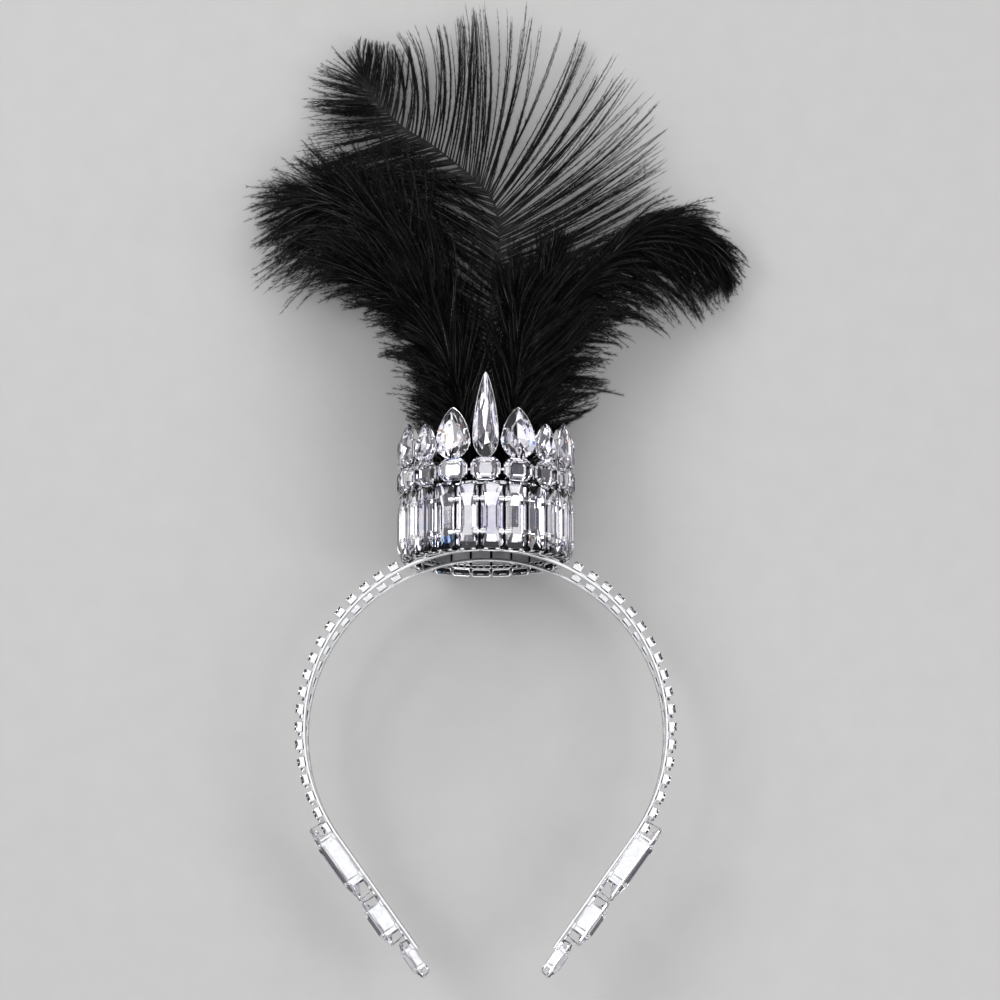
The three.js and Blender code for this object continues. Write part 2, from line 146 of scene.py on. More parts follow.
# %% Sockets that take part in arithmetic
class Shade:
    """A socket of a finish's node tree."""

    def __init__(self, tree, socket=None):
        self.tree = tree
        self.socket = socket

    def feed(self, node, inputs):
        """Fills the sockets of a node: a shade is linked, and anything else is a value."""
        for name, value in inputs.items():
            if isinstance(value, Shade):
                self.tree.links.new(value.socket, node.inputs[name])
            else:
                node.inputs[name].default_value = value

    def make(self, kind, settings, inputs, output=0):
        """A node of this kind: its settings first, then the values or links of its sockets."""
        node = self.tree.nodes.new(kind)
        for name, value in settings.items():
            if name == "stops":
                fill_ramp(node.color_ramp, value)
            else:
                setattr(node, name, value)
        self.feed(node, inputs)
        return Shade(self.tree, node.outputs[output])

    def math(self, operation, first, second):
        return self.make("ShaderNodeMath", {"operation": operation}, {0: first, 1: second})

    def __add__(self, other):
        return self.math("ADD", self, other)

    def __radd__(self, other):
        return self.math("ADD", other, self)

    def __mul__(self, other):
        return self.math("MULTIPLY", self, other)

    def __rmul__(self, other):
        return self.math("MULTIPLY", other, self)


def fill_ramp(colours, stops):
    while len(colours.elements) < len(stops):
        colours.elements.new(1.0)
    for element, (place, colour) in zip(colours.elements, stops):
        element.position = place
        element.color = (*colour, 1)


print("operators of a shade: + and *, with numbers on either side")


# %% Nodes that most finishes use
def new_finish(name):
    """A finish with one Principled shader: the material, the shade that makes its nodes, the shader."""
    material = bpy.data.materials.new(name)
    material.use_nodes = True
    tree = material.node_tree
    return material, Shade(tree), tree.nodes["Principled BSDF"]


def noise(shade, scale, detail):
    """Cloudy values from 0 to 1 that follow the surface's own place, with this many clouds to a metre."""
    place = shade.make("ShaderNodeTexCoord", {}, {}, "Object")
    return shade.make("ShaderNodeTexNoise", {}, {"Vector": place, "Scale": scale, "Detail": detail})


def ramp(shade, value, stops):
    return shade.make("ShaderNodeValToRGB", {"stops": stops}, {"Fac": value})


def bump(shade, height, strength, distance):
    inputs = {"Height": height, "Strength": strength, "Distance": distance}
    return shade.make("ShaderNodeBump", {}, inputs)


print("node helpers: noise, ramp and bump")

# %% [markdown]
# Metal finishes
#
# The claws and cages are bright plated metal: almost a mirror, with a little haze where it has been
# handled and fine rubbing marks. The strips and the frames inside the crown are satin, so they stay
# light from any side. The plates behind the stones are duller. The deep gaps between the stones, the
# sheets behind the plates and the gaps of the cups are painted shade: a near-black metal that stands
# for the shadow there. A picture of metal could be wrapped round all this, but it would blur up close.
# One cloudy noise in each finish moves its colour and its roughness a little instead, because a
# perfectly even mirror looks like a drawing.

# %% Bright, satin, painted-shade and dull metal
silver, shade, shader = new_finish("bright_silver")
haze = noise(shade, 420.0, 3.0)
rubbing = noise(shade, 2600.0, 1.0)
shade.feed(shader, {
    "Base Color": ramp(shade, haze, [(0.3, (0.78, 0.79, 0.82)), (0.7, (0.93, 0.93, 0.95))]),
    "Metallic": 1.0,
    "Roughness": 0.05 + haze * 0.1,
    "Normal": bump(shade, rubbing, 0.06, 0.0001),
})

satin, shade, shader = new_finish("satin_silver")
brushing = noise(shade, 900.0, 3.0)
shade.feed(shader, {
    "Base Color": ramp(shade, brushing, [(0.3, (0.84, 0.85, 0.87)), (0.7, (0.96, 0.96, 0.97))]),
    "Metallic": 1.0,
    "Roughness": 0.14 + brushing * 0.14,
    "Normal": bump(shade, brushing, 0.05, 0.0001),
})

# Painted shade: a near-black metal that stands for the shadow in the gaps, walls, sheets and notches.
painted_shade_metal, shade, shader = new_finish("painted_shade_backing")
shade_mottle = noise(shade, 500.0, 3.0)
shade.feed(shader, {
    "Base Color": ramp(shade, shade_mottle, [(0.3, (0.01, 0.01, 0.012)), (0.7, (0.05, 0.05, 0.055))]),
    "Metallic": 1.0,
    "Roughness": 0.3 + shade_mottle * 0.2,
})

dull_plate, shade, shader = new_finish("dull_plate")
wear = noise(shade, 240.0, 3.0)
shade.feed(shader, {
    "Base Color": ramp(shade, wear, [(0.3, (0.7, 0.7, 0.72)), (0.7, (0.86, 0.86, 0.88))]),
    "Metallic": 1.0,
    "Roughness": 0.32 + wear * 0.16,
})
print("metals:", silver.name, satin.name, painted_shade_metal.name, dull_plate.name)

# %% [markdown]
# Glass and foil
#
# The stones are clear glass in front, and their backs carry a mirror foil, which is what makes glass
# stones flash. The foil has a faint lavender and rose cast, and a few facets throw blue or warm light.
# Light could be left to split in the glass itself, but that takes very many samples and lands anywhere.
# A mirror behind clear facets gives the same sharp flashes at once, and a coloured foil sits where it is
# wanted.

# %% Clear glass, mirror foil and coloured glints
glass, shade, shader = new_finish("cut_glass")
smear = noise(shade, 300.0, 2.0)
shade.feed(shader, {
    "Base Color": ramp(shade, smear, [(0.35, (0.95, 0.94, 1.0)), (0.65, (1.0, 1.0, 1.0))]),
    "Roughness": smear * 0.02,
    "IOR": 1.56,
    "Transmission Weight": 1.0,
})

foil, shade, shader = new_finish("mirror_foil")
cast = noise(shade, 170.0, 2.0)
shade.feed(shader, {
    "Base Color": ramp(shade, cast, [
        (0.3, (0.82, 0.80, 0.94)),
        (0.45, (0.95, 0.95, 0.98)),
        (0.56, (0.97, 0.93, 0.95)),
        (0.7, (0.84, 0.87, 0.97)),
    ]),
    "Metallic": 1.0,
    "Roughness": 0.03 + cast * 0.06,
})


def glint(name, pale, deep):
    """Foil that throws one colour, for the few facets that catch it."""
    material, shade, shader = new_finish(name)
    fire = noise(shade, 700.0, 2.0)
    shade.feed(shader, {
        "Base Color": ramp(shade, fire, [(0.35, deep), (0.65, pale)]),
        "Metallic": 1.0,
        "Roughness": 0.04 + fire * 0.06,
    })
    return material


blue_glint = glint("blue_glint", (0.55, 0.85, 1.0), (0.12, 0.25, 0.9))
warm_glint = glint("warm_glint", (1.0, 0.88, 0.76), (0.95, 0.56, 0.4))
CLEAR, FOIL, BLUE, WARM = range(4)
stone_finishes = [glass, foil, blue_glint, warm_glint]
print("stones:", [finish.name for finish in stone_finishes])

# %% [markdown]
# Black feather, felt and floor
#
# The feathers are dyed black: dark and glossy along each barb, dull in the fine fringe, and a shade
# browner where the dye took less. A plain black would swallow the barbs, so what tells them apart is
# their gloss, not their colour. The felt has a fuzzy bump and no gloss at all. The floor is pale paper
# with a faint tooth.


# %% Dyed barbs, fringe and quills
def dyed_black(name, gloss, dullness):
    """Black dye on a feather: a shade browner here and there, with this much gloss."""
    material, shade, shader = new_finish(name)
    dye = noise(shade, 260.0, 3.0)
    shade.feed(shader, {
        "Base Color": ramp(shade, dye, [(0.35, (0.001, 0.001, 0.0013)), (0.7, (0.005, 0.0045, 0.005))]),
        "Roughness": dullness + dye * 0.15,
        "Specular IOR Level": gloss,
    })
    return material


barb_black = dyed_black("dyed_barbs", 0.27, 0.24)
barbule_black = dyed_black("dyed_barbules", 0.05, 0.42)
quill_black, shade, shader = new_finish("dyed_quill")
grain = noise(shade, 900.0, 2.0)
shade.feed(shader, {
    "Base Color": ramp(shade, grain, [(0.3, (0.004, 0.004, 0.004)), (0.7, (0.016, 0.014, 0.013))]),
    "Roughness": 0.28 + grain * 0.15,
    "Normal": bump(shade, grain, 0.3, 0.0002),
})
QUILL, BARB, BARBULE = range(3)
plume_finishes = [quill_black, barb_black, barbule_black]
print("plume:", [finish.name for finish in plume_finishes])

# %% Felt and floor
felt, shade, shader = new_finish("black_felt")
fuzz = noise(shade, 1500.0, 4.0)
shade.feed(shader, {
    "Base Color": ramp(shade, fuzz, [(0.3, (0.006, 0.006, 0.007)), (0.7, (0.03, 0.03, 0.032))]),
    "Roughness": 0.9,
    "Normal": bump(shade, fuzz, 0.8, 0.0006),
})

paper, shade, shader = new_finish("pale_floor")
tooth = noise(shade, 90.0, 4.0)
shade.feed(shader, {
    "Base Color": ramp(shade, tooth, [(0.3, (0.525, 0.52, 0.515)), (0.7, (0.54, 0.535, 0.53))]),
    "Roughness": 0.85,
})
print("felt and floor:", felt.name, paper.name)

# %% [markdown]
# Forms and pieces
#
# Most of this headpiece is many small things: 22 tall stones, 72 little cups, thousands of barbs. Each
# could be a Blender object of its own, with a modifier to repeat it, but so many objects are slow and
# hard to keep in order. Here each kind is shaped once as a form, a set of points and faces, and its
# copies are joined into one mesh from arrays.


# %% Forms: points, faces and the finish of each face
def form(points, faces, finish=0):
    """A form from its points and faces. The finish is one number, or a list with one for each face."""
    return {
        "points": np.asarray(points, float),
        "corners": np.array([corner for face in faces for corner in face]),
        "sizes": np.array([len(face) for face in faces]),
        "finishes": np.broadcast_to(finish, len(faces)).astype(int),
    }


def even_form(points, corners, sides, finish):
    """A form straight from arrays, where all faces have this many sides and the same finish."""
    count = len(corners) // sides
    return {
        "points": points.reshape(-1, 3),
        "corners": corners,
        "sizes": np.full(count, sides),
        "finishes": np.full(count, finish),
    }


def placed(shape, turn=np.eye(3), origin=(0, 0, 0)):
    return {**shape, "points": shape["points"] @ np.asarray(turn).T + np.asarray(origin)}


def joined(shapes):
    starts = np.cumsum([0] + [len(shape["points"]) for shape in shapes[:-1]])
    corners = [shape["corners"] + start for shape, start in zip(shapes, starts)]
    keys = ("points", "sizes", "finishes")
    whole = {key: np.concatenate([shape[key] for shape in shapes]) for key in keys}
    return {**whole, "corners": np.concatenate(corners)}


one_triangle = form([(0, 0, 0), (1, 0, 0), (0, 1, 0)], [(0, 1, 2)])
print("a form holds:", list(one_triangle))


# %% Pieces: a form as a mesh object on the part
def fill_mesh(mesh, shape):
    mesh.vertices.add(len(shape["points"]))
    mesh.vertices.foreach_set("co", to_model(shape["points"]).astype(np.float32).ravel())
    mesh.loops.add(len(shape["corners"]))
    mesh.loops.foreach_set("vertex_index", shape["corners"].astype(np.int32))
    mesh.polygons.add(len(shape["sizes"]))
    starts = np.cumsum(shape["sizes"]) - shape["sizes"]
    mesh.polygons.foreach_set("loop_start", starts.astype(np.int32))
    mesh.polygons.foreach_set("material_index", shape["finishes"].astype(np.int32))
    mesh.update(calc_edges=True)
    mesh.validate()


def turn_faces_outward(mesh):
    solid = bmesh.new()
    solid.from_mesh(mesh)
    bmesh.ops.recalc_face_normals(solid, faces=solid.faces)
    solid.to_mesh(mesh)
    solid.free()


def piece(name, shape, finishes, nodes=(), outward=True, crease=None):
    """A mesh object from a form. It rides on the part, and stands for the CAD nodes that it names."""
    mesh = bpy.data.meshes.new(name)
    fill_mesh(mesh, shape)
    if outward:
        turn_faces_outward(mesh)
    if crease is None:
        mesh.shade_flat()
    else:
        mesh.shade_smooth()
        mesh.set_sharp_from_angle(angle=math.radians(crease))
    for finish in finishes:
        mesh.materials.append(finish)
    thing = bpy.data.objects.new(name, mesh)
    bpy.context.scene.collection.objects.link(thing)
    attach(thing, "root")
    if nodes:
        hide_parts(*nodes)
    triangles = int((shape["sizes"] - 2).sum())
    print(f"{name}: {triangles} triangles")


print("ready to make pieces from forms")


# %% Blocks with chamfered edges, and skins over rings
def block(width, height, depth, chamfer, finish=0):
    """A box about the origin whose edges are cut, so that each of them catches the light."""
    box = bmesh.new()
    bmesh.ops.create_cube(box, size=1)
    bmesh.ops.scale(box, vec=(width, height, depth), verts=box.verts)
    bmesh.ops.bevel(box, geom=box.edges[:], offset=chamfer, segments=1, affect="EDGES")
    box.verts.ensure_lookup_table()
    points = [tuple(vertex.co) for vertex in box.verts]
    faces = [[vertex.index for vertex in face.verts] for face in box.faces]
    box.free()
    return form(points, faces, finish)


def ring_quads(first, second, count):
    """Faces between two rings of points that start at these indices."""
    faces = []
    for i in range(count):
        after = (i + 1) % count
        faces.append((first + i, first + after, second + after, second + i))
    return faces


def skin(rings, closed=False, finish=0):
    """A skin over rings of equally many points. It is closed on itself, or capped at both ends."""
    rings = np.asarray(rings, float)
    stops, count = rings.shape[:2]
    faces = []
    for i in range(stops if closed else stops - 1):
        faces += ring_quads(i * count, (i + 1) % stops * count, count)
    if not closed:
        faces.append(tuple(range(count))[::-1])
        faces.append(tuple(range((stops - 1) * count, stops * count)))
    return form(rings.reshape(-1, 3), faces, finish)


print("faces of a chamfered block:", len(block(2.0, 2.0, 2.0, 0.2)["sizes"]))

# %% Tubes along a path, and places round the crown
UP = (0, 0, 1)
TINY = 1e-9


def unit(vectors):
    vectors = np.asarray(vectors, float)
    return vectors / np.maximum(np.linalg.norm(vectors, axis=-1, keepdims=True), TINY)


def tube(path, radii, sides=6, squash=1.0, closed=False, finish=0):
    """A round or flattened bar along a path. It is as wide as its radii, and squash times as thick."""
    path = np.asarray(path, float)
    radii = np.broadcast_to(radii, len(path))
    if closed:
        ahead = unit(np.roll(path, -1, 0) - np.roll(path, 1, 0))
    else:
        ahead = unit(np.gradient(path, axis=0))
    wide = unit(np.cross(ahead, UP))
    thick = np.cross(wide, ahead)
    turn = np.linspace(0, 2 * math.pi, sides, endpoint=False)[None, :, None]
    across = np.cos(turn) * wide[:, None] + squash * np.sin(turn) * thick[:, None]
    rings = path[:, None] + radii[:, None, None] * across
    return skin(rings, closed, finish)


def around(angle):
    """Turns a form from the crown's front to this angle round its axis."""
    s, c = math.sin(angle), math.cos(angle)
    return np.array([[c, 0, s], [0, 1, 0], [-s, 0, c]])


print("outward, a quarter turn round the crown:", (around(math.pi / 2) @ UP).round(3))

# %% [markdown]
# Cut stones
#
# There are two cuts here. The tall stones, the wide stones and the end stones are step cut: rows of
# facets run parallel to the outline, like stairs. The pointed stones and the small round ones are
# brilliant cut: triangles and kites meet round the table. A cube with bevels would come near the first
# and nothing simple near the second, so both are built from rings of points, one ring for each height.
# In both, the facets below the girdle carry the foil. Flat shading keeps every facet a flat mirror.

# %% Step cut
GIRDLE_LEVEL = 3


def cut_corner_ring(width, height, inset_x, inset_y, z, cut):
    """An oblong with cut corners, as far inside the outline as the insets say."""
    w = width / 2 - inset_x
    h = height / 2 - inset_y
    flat = [
        (w, -h + cut), (w, h - cut), (w - cut, h), (-w + cut, h),
        (-w, h - cut), (-w, -h + cut), (-w + cut, -h), (w - cut, -h),
    ]
    return [(x, y, z) for x, y in flat]


def step_stone(width, height, levels):
    """A stone from its table down. A level is an inset in x, an inset in y, a height and a corner's cut."""
    rings = [cut_corner_ring(width, height, *level) for level in levels]
    count = len(rings[0])
    faces = [tuple(range(count))]
    finishes = [CLEAR]
    for i in range(len(rings) - 1):
        faces += ring_quads((i + 1) * count, i * count, count)
        finishes += [CLEAR if i < GIRDLE_LEVEL else FOIL] * count
    last = (len(rings) - 1) * count
    faces.append(tuple(range(last, last + count))[::-1])
    finishes.append(FOIL)
    return form(np.concatenate(rings), faces, finishes)


print("corners of a step-cut outline:", len(cut_corner_ring(2.0, 2.0, 0.0, 0.0, 0.0, 0.5)))


# %% Triangles between two rings
def ring_triangles(outer, outer_angles, inner, inner_angles):
    """Triangles between two rings of points with different counts, taken in order of their angles."""
    n, m = len(outer), len(inner)
    faces = []
    i = j = 0
    while i < n or j < m:
        next_outer = outer_angles[(i + 1) % n] + 2 * math.pi * ((i + 1) // n)
        next_inner = inner_angles[(j + 1) % m] + 2 * math.pi * ((j + 1) // m)
        if j == m or (i < n and next_outer <= next_inner):
            faces.append((outer[i % n], outer[(i + 1) % n], inner[j % m]))
            i += 1
        else:
            faces.append((outer[i % n], inner[(j + 1) % m], inner[j % m]))
            j += 1
    return faces


test_triangles = ring_triangles(range(4), range(4), range(4, 7), range(3))
print("triangles between a ring of 4 and a ring of 3:", len(test_triangles))


# %% Facets above the girdle of a brilliant cut
def upper_facets(count):
    """Faces from the table to the girdle's edge: the table, stars, kites and pairs beside the kites."""
    star, top = count, 2 * count
    faces = [tuple(range(count))]
    for i in range(count):
        after = (i + 1) % count
        before = (i - 1) % count
        g0, g1, g2 = top + 2 * i, top + 2 * i + 1, top + (2 * i + 2) % (2 * count)
        faces.append((i, star + i, after))
        faces.append((i, star + before, g0, star + i))
        faces.append((star + i, g0, g1))
        faces.append((star + i, g1, g2))
    return faces


print("facets above the girdle of an eight-fold brilliant:", len(upper_facets(8)))

# %% Brilliant cut
STAR_DROP = 0.55
LOWER_SCALE, LOWER_DROP = 0.52, 0.62


def ring_angles(count):
    """Angles of a ring's points, from the foot of the stone round."""
    return np.linspace(0, 2 * math.pi, count, endpoint=False) - math.pi / 2


def brilliant_stone(outline, count, middle, table=0.6, crown=1.5, girdle=0.4, depth=4.7, mains=6, turn=0.3):
    """A stone whose outline is a function of angles. Its table lies at z = 0 and its point at -depth."""
    whole = ring_angles(count)
    half = whole + math.pi / count
    both = ring_angles(2 * count)
    under = ring_angles(mains) + turn
    middle = np.asarray(middle, float)

    def ring(angles, scale, z):
        flat = (outline(angles) - middle) * scale + middle
        return np.column_stack([flat, np.full(len(angles), z)])

    pavilion = depth - crown - girdle
    points = np.concatenate([
        ring(whole, table, 0.0),
        ring(half, 0.5 * (1 + table), -STAR_DROP * crown),
        ring(both, 1.0, -crown),
        ring(both, 1.0, -crown - girdle),
        ring(under, LOWER_SCALE, -crown - girdle - LOWER_DROP * pavilion),
        [(*middle, -depth)],
    ])
    top, bottom, lower = 2 * count, 4 * count, 6 * count
    tip = lower + mains
    clear = upper_facets(count) + ring_quads(bottom, top, 2 * count)
    foiled = ring_triangles(range(bottom, lower), both, range(lower, tip), under)
    foiled += [(tip, lower + (i + 1) % mains, lower + i) for i in range(mains)]
    return form(points, clear + foiled, [CLEAR] * len(clear) + [FOIL] * len(foiled))


print("the first angle of a ring, degrees:", math.degrees(ring_angles(8)[0]))


# %% Glints
def with_glints(stones, glints):
    """Joins stones. A glint is a stone's number, one of its facets and the finish which that takes."""
    stones = [{**stone, "finishes": stone["finishes"].copy()} for stone in stones]
    for number, facet, finish in glints:
        stones[number]["finishes"][facet] = finish
    return joined(stones)


print("coloured finishes for glints:", stone_finishes[BLUE].name, stone_finishes[WARM].name)

# %% [markdown]
# The crown's stones
#
# Twenty-two tall stones make the wall. Above them sit sixteen wide stones, and on each of those stands a
# pointed one: a long drop at the front, with graded pears on both sides of it and all round. A single
# stone could be copied by an array round the axis, but then every glint would repeat with it. Stones
# that are placed one by one and joined can each have facets of their own colour.

# %% Tall stones
TALL_COUNT = 22
TALL_TURN = math.radians(4.3)
TALL_WIDTH, TALL_HEIGHT = 7.8, 24.0
TALL_MIDDLE = 12.2
TALL_TABLE = 32.75
TALL_LEVELS = [
    (1.6, 5.0, 0.0, 0.7),
    (0.8, 2.2, -0.8, 1.1),
    (0.0, 0.0, -1.5, 1.3),
    (0.0, 0.0, -1.9, 1.3),
    (1.0, 0.5, -3.1, 0.8),
    (1.9, 5.4, -3.95, 0.7),
    (2.5, 8.0, -4.3, 0.5),
]
TALL_GLINTS = [
    (20, 31, BLUE), (20, 39, BLUE), (20, 40, BLUE), (2, 31, WARM), (2, 38, WARM), (1, 32, BLUE),
    (6, 31, WARM), (9, 39, BLUE), (13, 31, BLUE), (16, 40, WARM),
]

tall_angles = [TALL_TURN + 2 * math.pi * i / TALL_COUNT for i in range(TALL_COUNT)]
tall_stone = step_stone(TALL_WIDTH, TALL_HEIGHT, TALL_LEVELS)
tall_stone = placed(tall_stone, origin=(0, TALL_MIDDLE, TALL_TABLE))
tall_stones = [placed(tall_stone, around(angle)) for angle in tall_angles]
tall_nodes = [f"baguette_{i + 1:02d}" for i in range(TALL_COUNT)]
piece("tall_stones", with_glints(tall_stones, TALL_GLINTS), stone_finishes, tall_nodes)

# %% Wide stones
COLUMN_COUNT = 16
WIDE_WIDTH, WIDE_HEIGHT, WIDE_CORNER = 10.8, 8.4, 2.3
WIDE_MIDDLE = 29.3
CROWN_TABLE = 33.0
WIDE_LEVELS = [
    (1.5, 1.4, 0.0, 1.0),
    (0.7, 0.65, -0.75, 1.7),
    (0.0, 0.0, -1.5, WIDE_CORNER),
    (0.0, 0.0, -1.9, WIDE_CORNER),
    (1.2, 1.0, -3.1, 1.6),
    (2.3, 1.9, -3.9, 0.9),
    (3.1, 2.5, -4.15, 0.5),
]
WIDE_GLINTS = [(1, 30, WARM), (15, 27, BLUE), (5, 28, WARM), (10, 26, BLUE)]

column_angles = [2 * math.pi * i / COLUMN_COUNT for i in range(COLUMN_COUNT)]
wide_stone = step_stone(WIDE_WIDTH, WIDE_HEIGHT, WIDE_LEVELS)
wide_stone = placed(wide_stone, origin=(0, WIDE_MIDDLE, CROWN_TABLE))
wide_stones = [placed(wide_stone, around(angle)) for angle in column_angles]
piece("wide_stones", with_glints(wide_stones, WIDE_GLINTS), stone_finishes, ["octagon_row"])

# %% Outlines of the pointed stones
POINT_KINDS = {
    "drop": {"width": 9.3, "height": 31.6, "waist": 0.25, "slim": 0.24},
    "large": {"width": 13.3, "height": 18.8, "waist": 0.36, "slim": 0.23},
    "small": {"width": 10.2, "height": 14.2, "waist": 0.38, "slim": 0.2},
    "medium": {"width": 11.2, "height": 16.4, "waist": 0.38, "slim": 0.18},
}


def waist_height(kind):
    """How high a pointed stone is widest, from the middle of its height."""
    return kind["height"] * (kind["waist"] - 0.5)


def pear_outline(kind):
    """The outline of a pointed stone as a function of angles, about the middle of its height."""

    def outline(angles):
        side, rise = np.cos(angles), np.sin(angles)
        reach = kind["height"] * np.where(rise > 0, 1 - kind["waist"], kind["waist"])
        narrowing = np.where(rise > 0, np.maximum(1 - rise, 0) ** kind["slim"], 1.0)
        return np.column_stack([side * narrowing * kind["width"] / 2, waist_height(kind) + rise * reach])

    return outline


print("kinds of pointed stone:", list(POINT_KINDS))

# %% Pointed stones
POINT_FOOT = 33.4
POINT_FACETS, POINT_MAINS = 14, 7
POINT_HEART = 0.44
POINT_SEED = 5
POINT_TURNS = (0.1, 0.9)
POINT_ORDER = [
    "drop", "large", "small", "medium", "small", "large", "small", "medium",
    "large", "medium", "small", "large", "small", "medium", "small", "large",
]
POINT_GLINTS = [
    (15, 124, WARM), (15, 108, WARM), (1, 92, BLUE), (3, 96, WARM), (7, 122, BLUE), (11, 121, WARM),
]


def point_stone(kind, turn):
    """One pointed stone. The turn of the facets under it is its own, so no two stones flash alike."""
    middle = (0, kind["height"] * (kind["waist"] - POINT_HEART))
    stone = brilliant_stone(pear_outline(kind), POINT_FACETS, middle, mains=POINT_MAINS, turn=turn)
    return placed(stone, origin=(0, POINT_FOOT + kind["height"] / 2, CROWN_TABLE))


turns = np.random.default_rng(POINT_SEED).uniform(*POINT_TURNS, COLUMN_COUNT)
turns = turns * 2 * math.pi / POINT_MAINS
pointed_stones = [
    placed(point_stone(POINT_KINDS[word], turn), around(angle))
    for word, turn, angle in zip(POINT_ORDER, turns, column_angles)
]
point_nodes = [f"point_{i + 1:02d}" for i in range(COLUMN_COUNT)]
piece("pointed_stones", with_glints(pointed_stones, POINT_GLINTS), stone_finishes, point_nodes)

# %% [markdown]
# The crown's cage
#
# Every stone sits in its own claw setting and the settings are soldered side by side. From outside only
# the claws show, as short bright bars that reach over the stones' edges, with walls between them that
# are painted near black: painted shade for the shadow between the settings.
# From inside, which the camera sees through the crown's open foot, there are flat plates, a chain of
# small squares and a row of open frames along the rim.
#
# One bent sheet with holes would be quick, but the light that plays over a crown comes from the many
# rounded ends of its claws. So a claw is a flattened tube along four stops, and all settings are joined
# into one mesh with several finishes.

# %% Finishes of the cage, and loops for wires
METAL_CREASE = 32
# The cage's second finish is painted shade, for the walls and sheets that stand in shadow.
PAINTED_SHADE, DULL, SATIN = range(1, 4)
cage_finishes = [silver, painted_shade_metal, dull_plate, satin]


def rounded_loop(width, height, corner, z, steps=4):
    """A closed path round an oblong with round corners."""
    path = []
    for i in range(4):
        sx = 1 if i in (0, 3) else -1
        sy = 1 if i in (0, 1) else -1
        for step in range(steps + 1):
            turn = math.pi / 2 * (i + step / steps)
            x = sx * (width / 2 - corner) + corner * math.cos(turn)
            y = sy * (height / 2 - corner) + corner * math.sin(turn)
            path.append((x, y, z))
    return path


print("cage:", [finish.name for finish in cage_finishes])

# %% Outside of a tall stone's setting: walls in painted shade and flat claws
# The walls between the stones are painted shade: near black, for the shadow between the settings.
WALL = {"width": 0.3, "height": 23.0, "depth": 2.7, "chamfer": 0.08, "finish": PAINTED_SHADE}
WALL_X, WALL_Z = 4.0, 29.3
FLAT_CLAW = {"radii": [0.9, 0.9, 0.9, 0.8], "sides": 8, "squash": 0.3}
SIDE_CLAW_RISE = 6.0
SIDE_CLAW_STOPS = [(4.2, 29.4), (4.24, 31.6), (3.95, 32.2), (2.4, 32.5)]
UPRIGHT_CLAW_X = 2.1
FOOT_CLAW_STOPS = [(-0.05, 28.6), (-0.12, 30.6), (0.0, 30.95), (0.3, 31.15)]
HEAD_CLAW_STOPS = [(24.45, 28.6), (24.52, 31.1), (24.3, 31.75), (23.6, 32.2)]


def tall_outside():
    forms = []
    for side in (-1, 1):
        forms.append(placed(block(**WALL), origin=(side * WALL_X, TALL_MIDDLE, WALL_Z)))
        for y in (TALL_MIDDLE - SIDE_CLAW_RISE, TALL_MIDDLE + SIDE_CLAW_RISE):
            path = [(side * x, y, z) for x, z in SIDE_CLAW_STOPS]
            forms.append(tube(path, **FLAT_CLAW))
        for stops in (FOOT_CLAW_STOPS, HEAD_CLAW_STOPS):
            path = [(side * UPRIGHT_CLAW_X, y, z) for y, z in stops]
            forms.append(tube(path, **FLAT_CLAW))
    return forms


print("parts outside a tall stone:", len(tall_outside()))

# %% Inside of a tall stone's setting: plate, sheet of painted shade, chain and rim frame
PLATE_INNER = 27.0
PLATE = {"width": 6.9, "height": 18.4, "depth": 0.7, "chamfer": 0.12, "finish": DULL}
PLATE_MIDDLE = 13.7
# A near-black sheet behind the plate: painted shade for the shadow inside the crown.
PAINTED_SHADE_SHEET = {"width": 7.9, "height": 23.0, "depth": 0.2, "chamfer": 0.05, "finish": PAINTED_SHADE}
SHEET_MIDDLE, SHEET_BEHIND = 11.7, 0.85
CHAIN_LOOP = {"width": 2.1, "height": 1.3, "corner": 0.3, "z": PLATE_INNER - 0.1, "steps": 2}
CHAIN_WIRE = {"radii": 0.3, "sides": 12, "closed": True, "finish": SATIN}
CHAIN_MIDDLE = 3.65
CHAIN_PLACES = (-2.5, 0.0, 2.5)
RIM_LOOP = {"width": 6.8, "height": 2.6, "corner": 0.8, "z": PLATE_INNER}
RIM_WIRE = {"radii": 0.4, "sides": 12, "closed": True, "finish": SATIN}
RIM_MIDDLE = 1.35
RIM_DIP = 1.0


def tall_inside(dip):
    """The dip is how far the plate, the chain and the frame hang below those at the front."""
    plate_z = PLATE_INNER + PLATE["depth"] / 2
    square = tube(rounded_loop(**CHAIN_LOOP), **CHAIN_WIRE)
    rim_frame = tube(rounded_loop(**RIM_LOOP), **RIM_WIRE)
    forms = [placed(block(**PLATE), origin=(0, PLATE_MIDDLE - dip, plate_z))]
    forms.append(placed(block(**PAINTED_SHADE_SHEET), origin=(0, SHEET_MIDDLE, PLATE_INNER + SHEET_BEHIND)))
    forms += [placed(square, origin=(x, CHAIN_MIDDLE - dip, 0)) for x in CHAIN_PLACES]
    forms.append(placed(rim_frame, origin=(0, RIM_MIDDLE - dip, 0)))
    return forms


def tall_setting(angle):
    dip = RIM_DIP * (1 - math.cos(angle)) / 2
    return placed(joined(tall_outside() + tall_inside(dip)), around(angle))


cage = [tall_setting(angle) for angle in tall_angles]
print("settings of tall stones:", len(cage))

# %% Settings of the wide stones
WIDE_RIM_INSET, WIDE_RIM_Z, WIDE_RIM_WIRE = 0.2, 30.5, 0.3
WIDE_CLAW = {"radii": [0.36, 0.36, 0.36, 0.24], "sides": 8, "squash": 0.6}
WIDE_CLAW_STOPS = [(0.38, 28.6), (0.4, 31.2), (0.2, 31.75), (-0.3, 32.1)]
WIDE_BACK = {"width": 7.4, "height": 5.4, "depth": 0.6, "chamfer": 0.12}
BACK_Z = 28.0


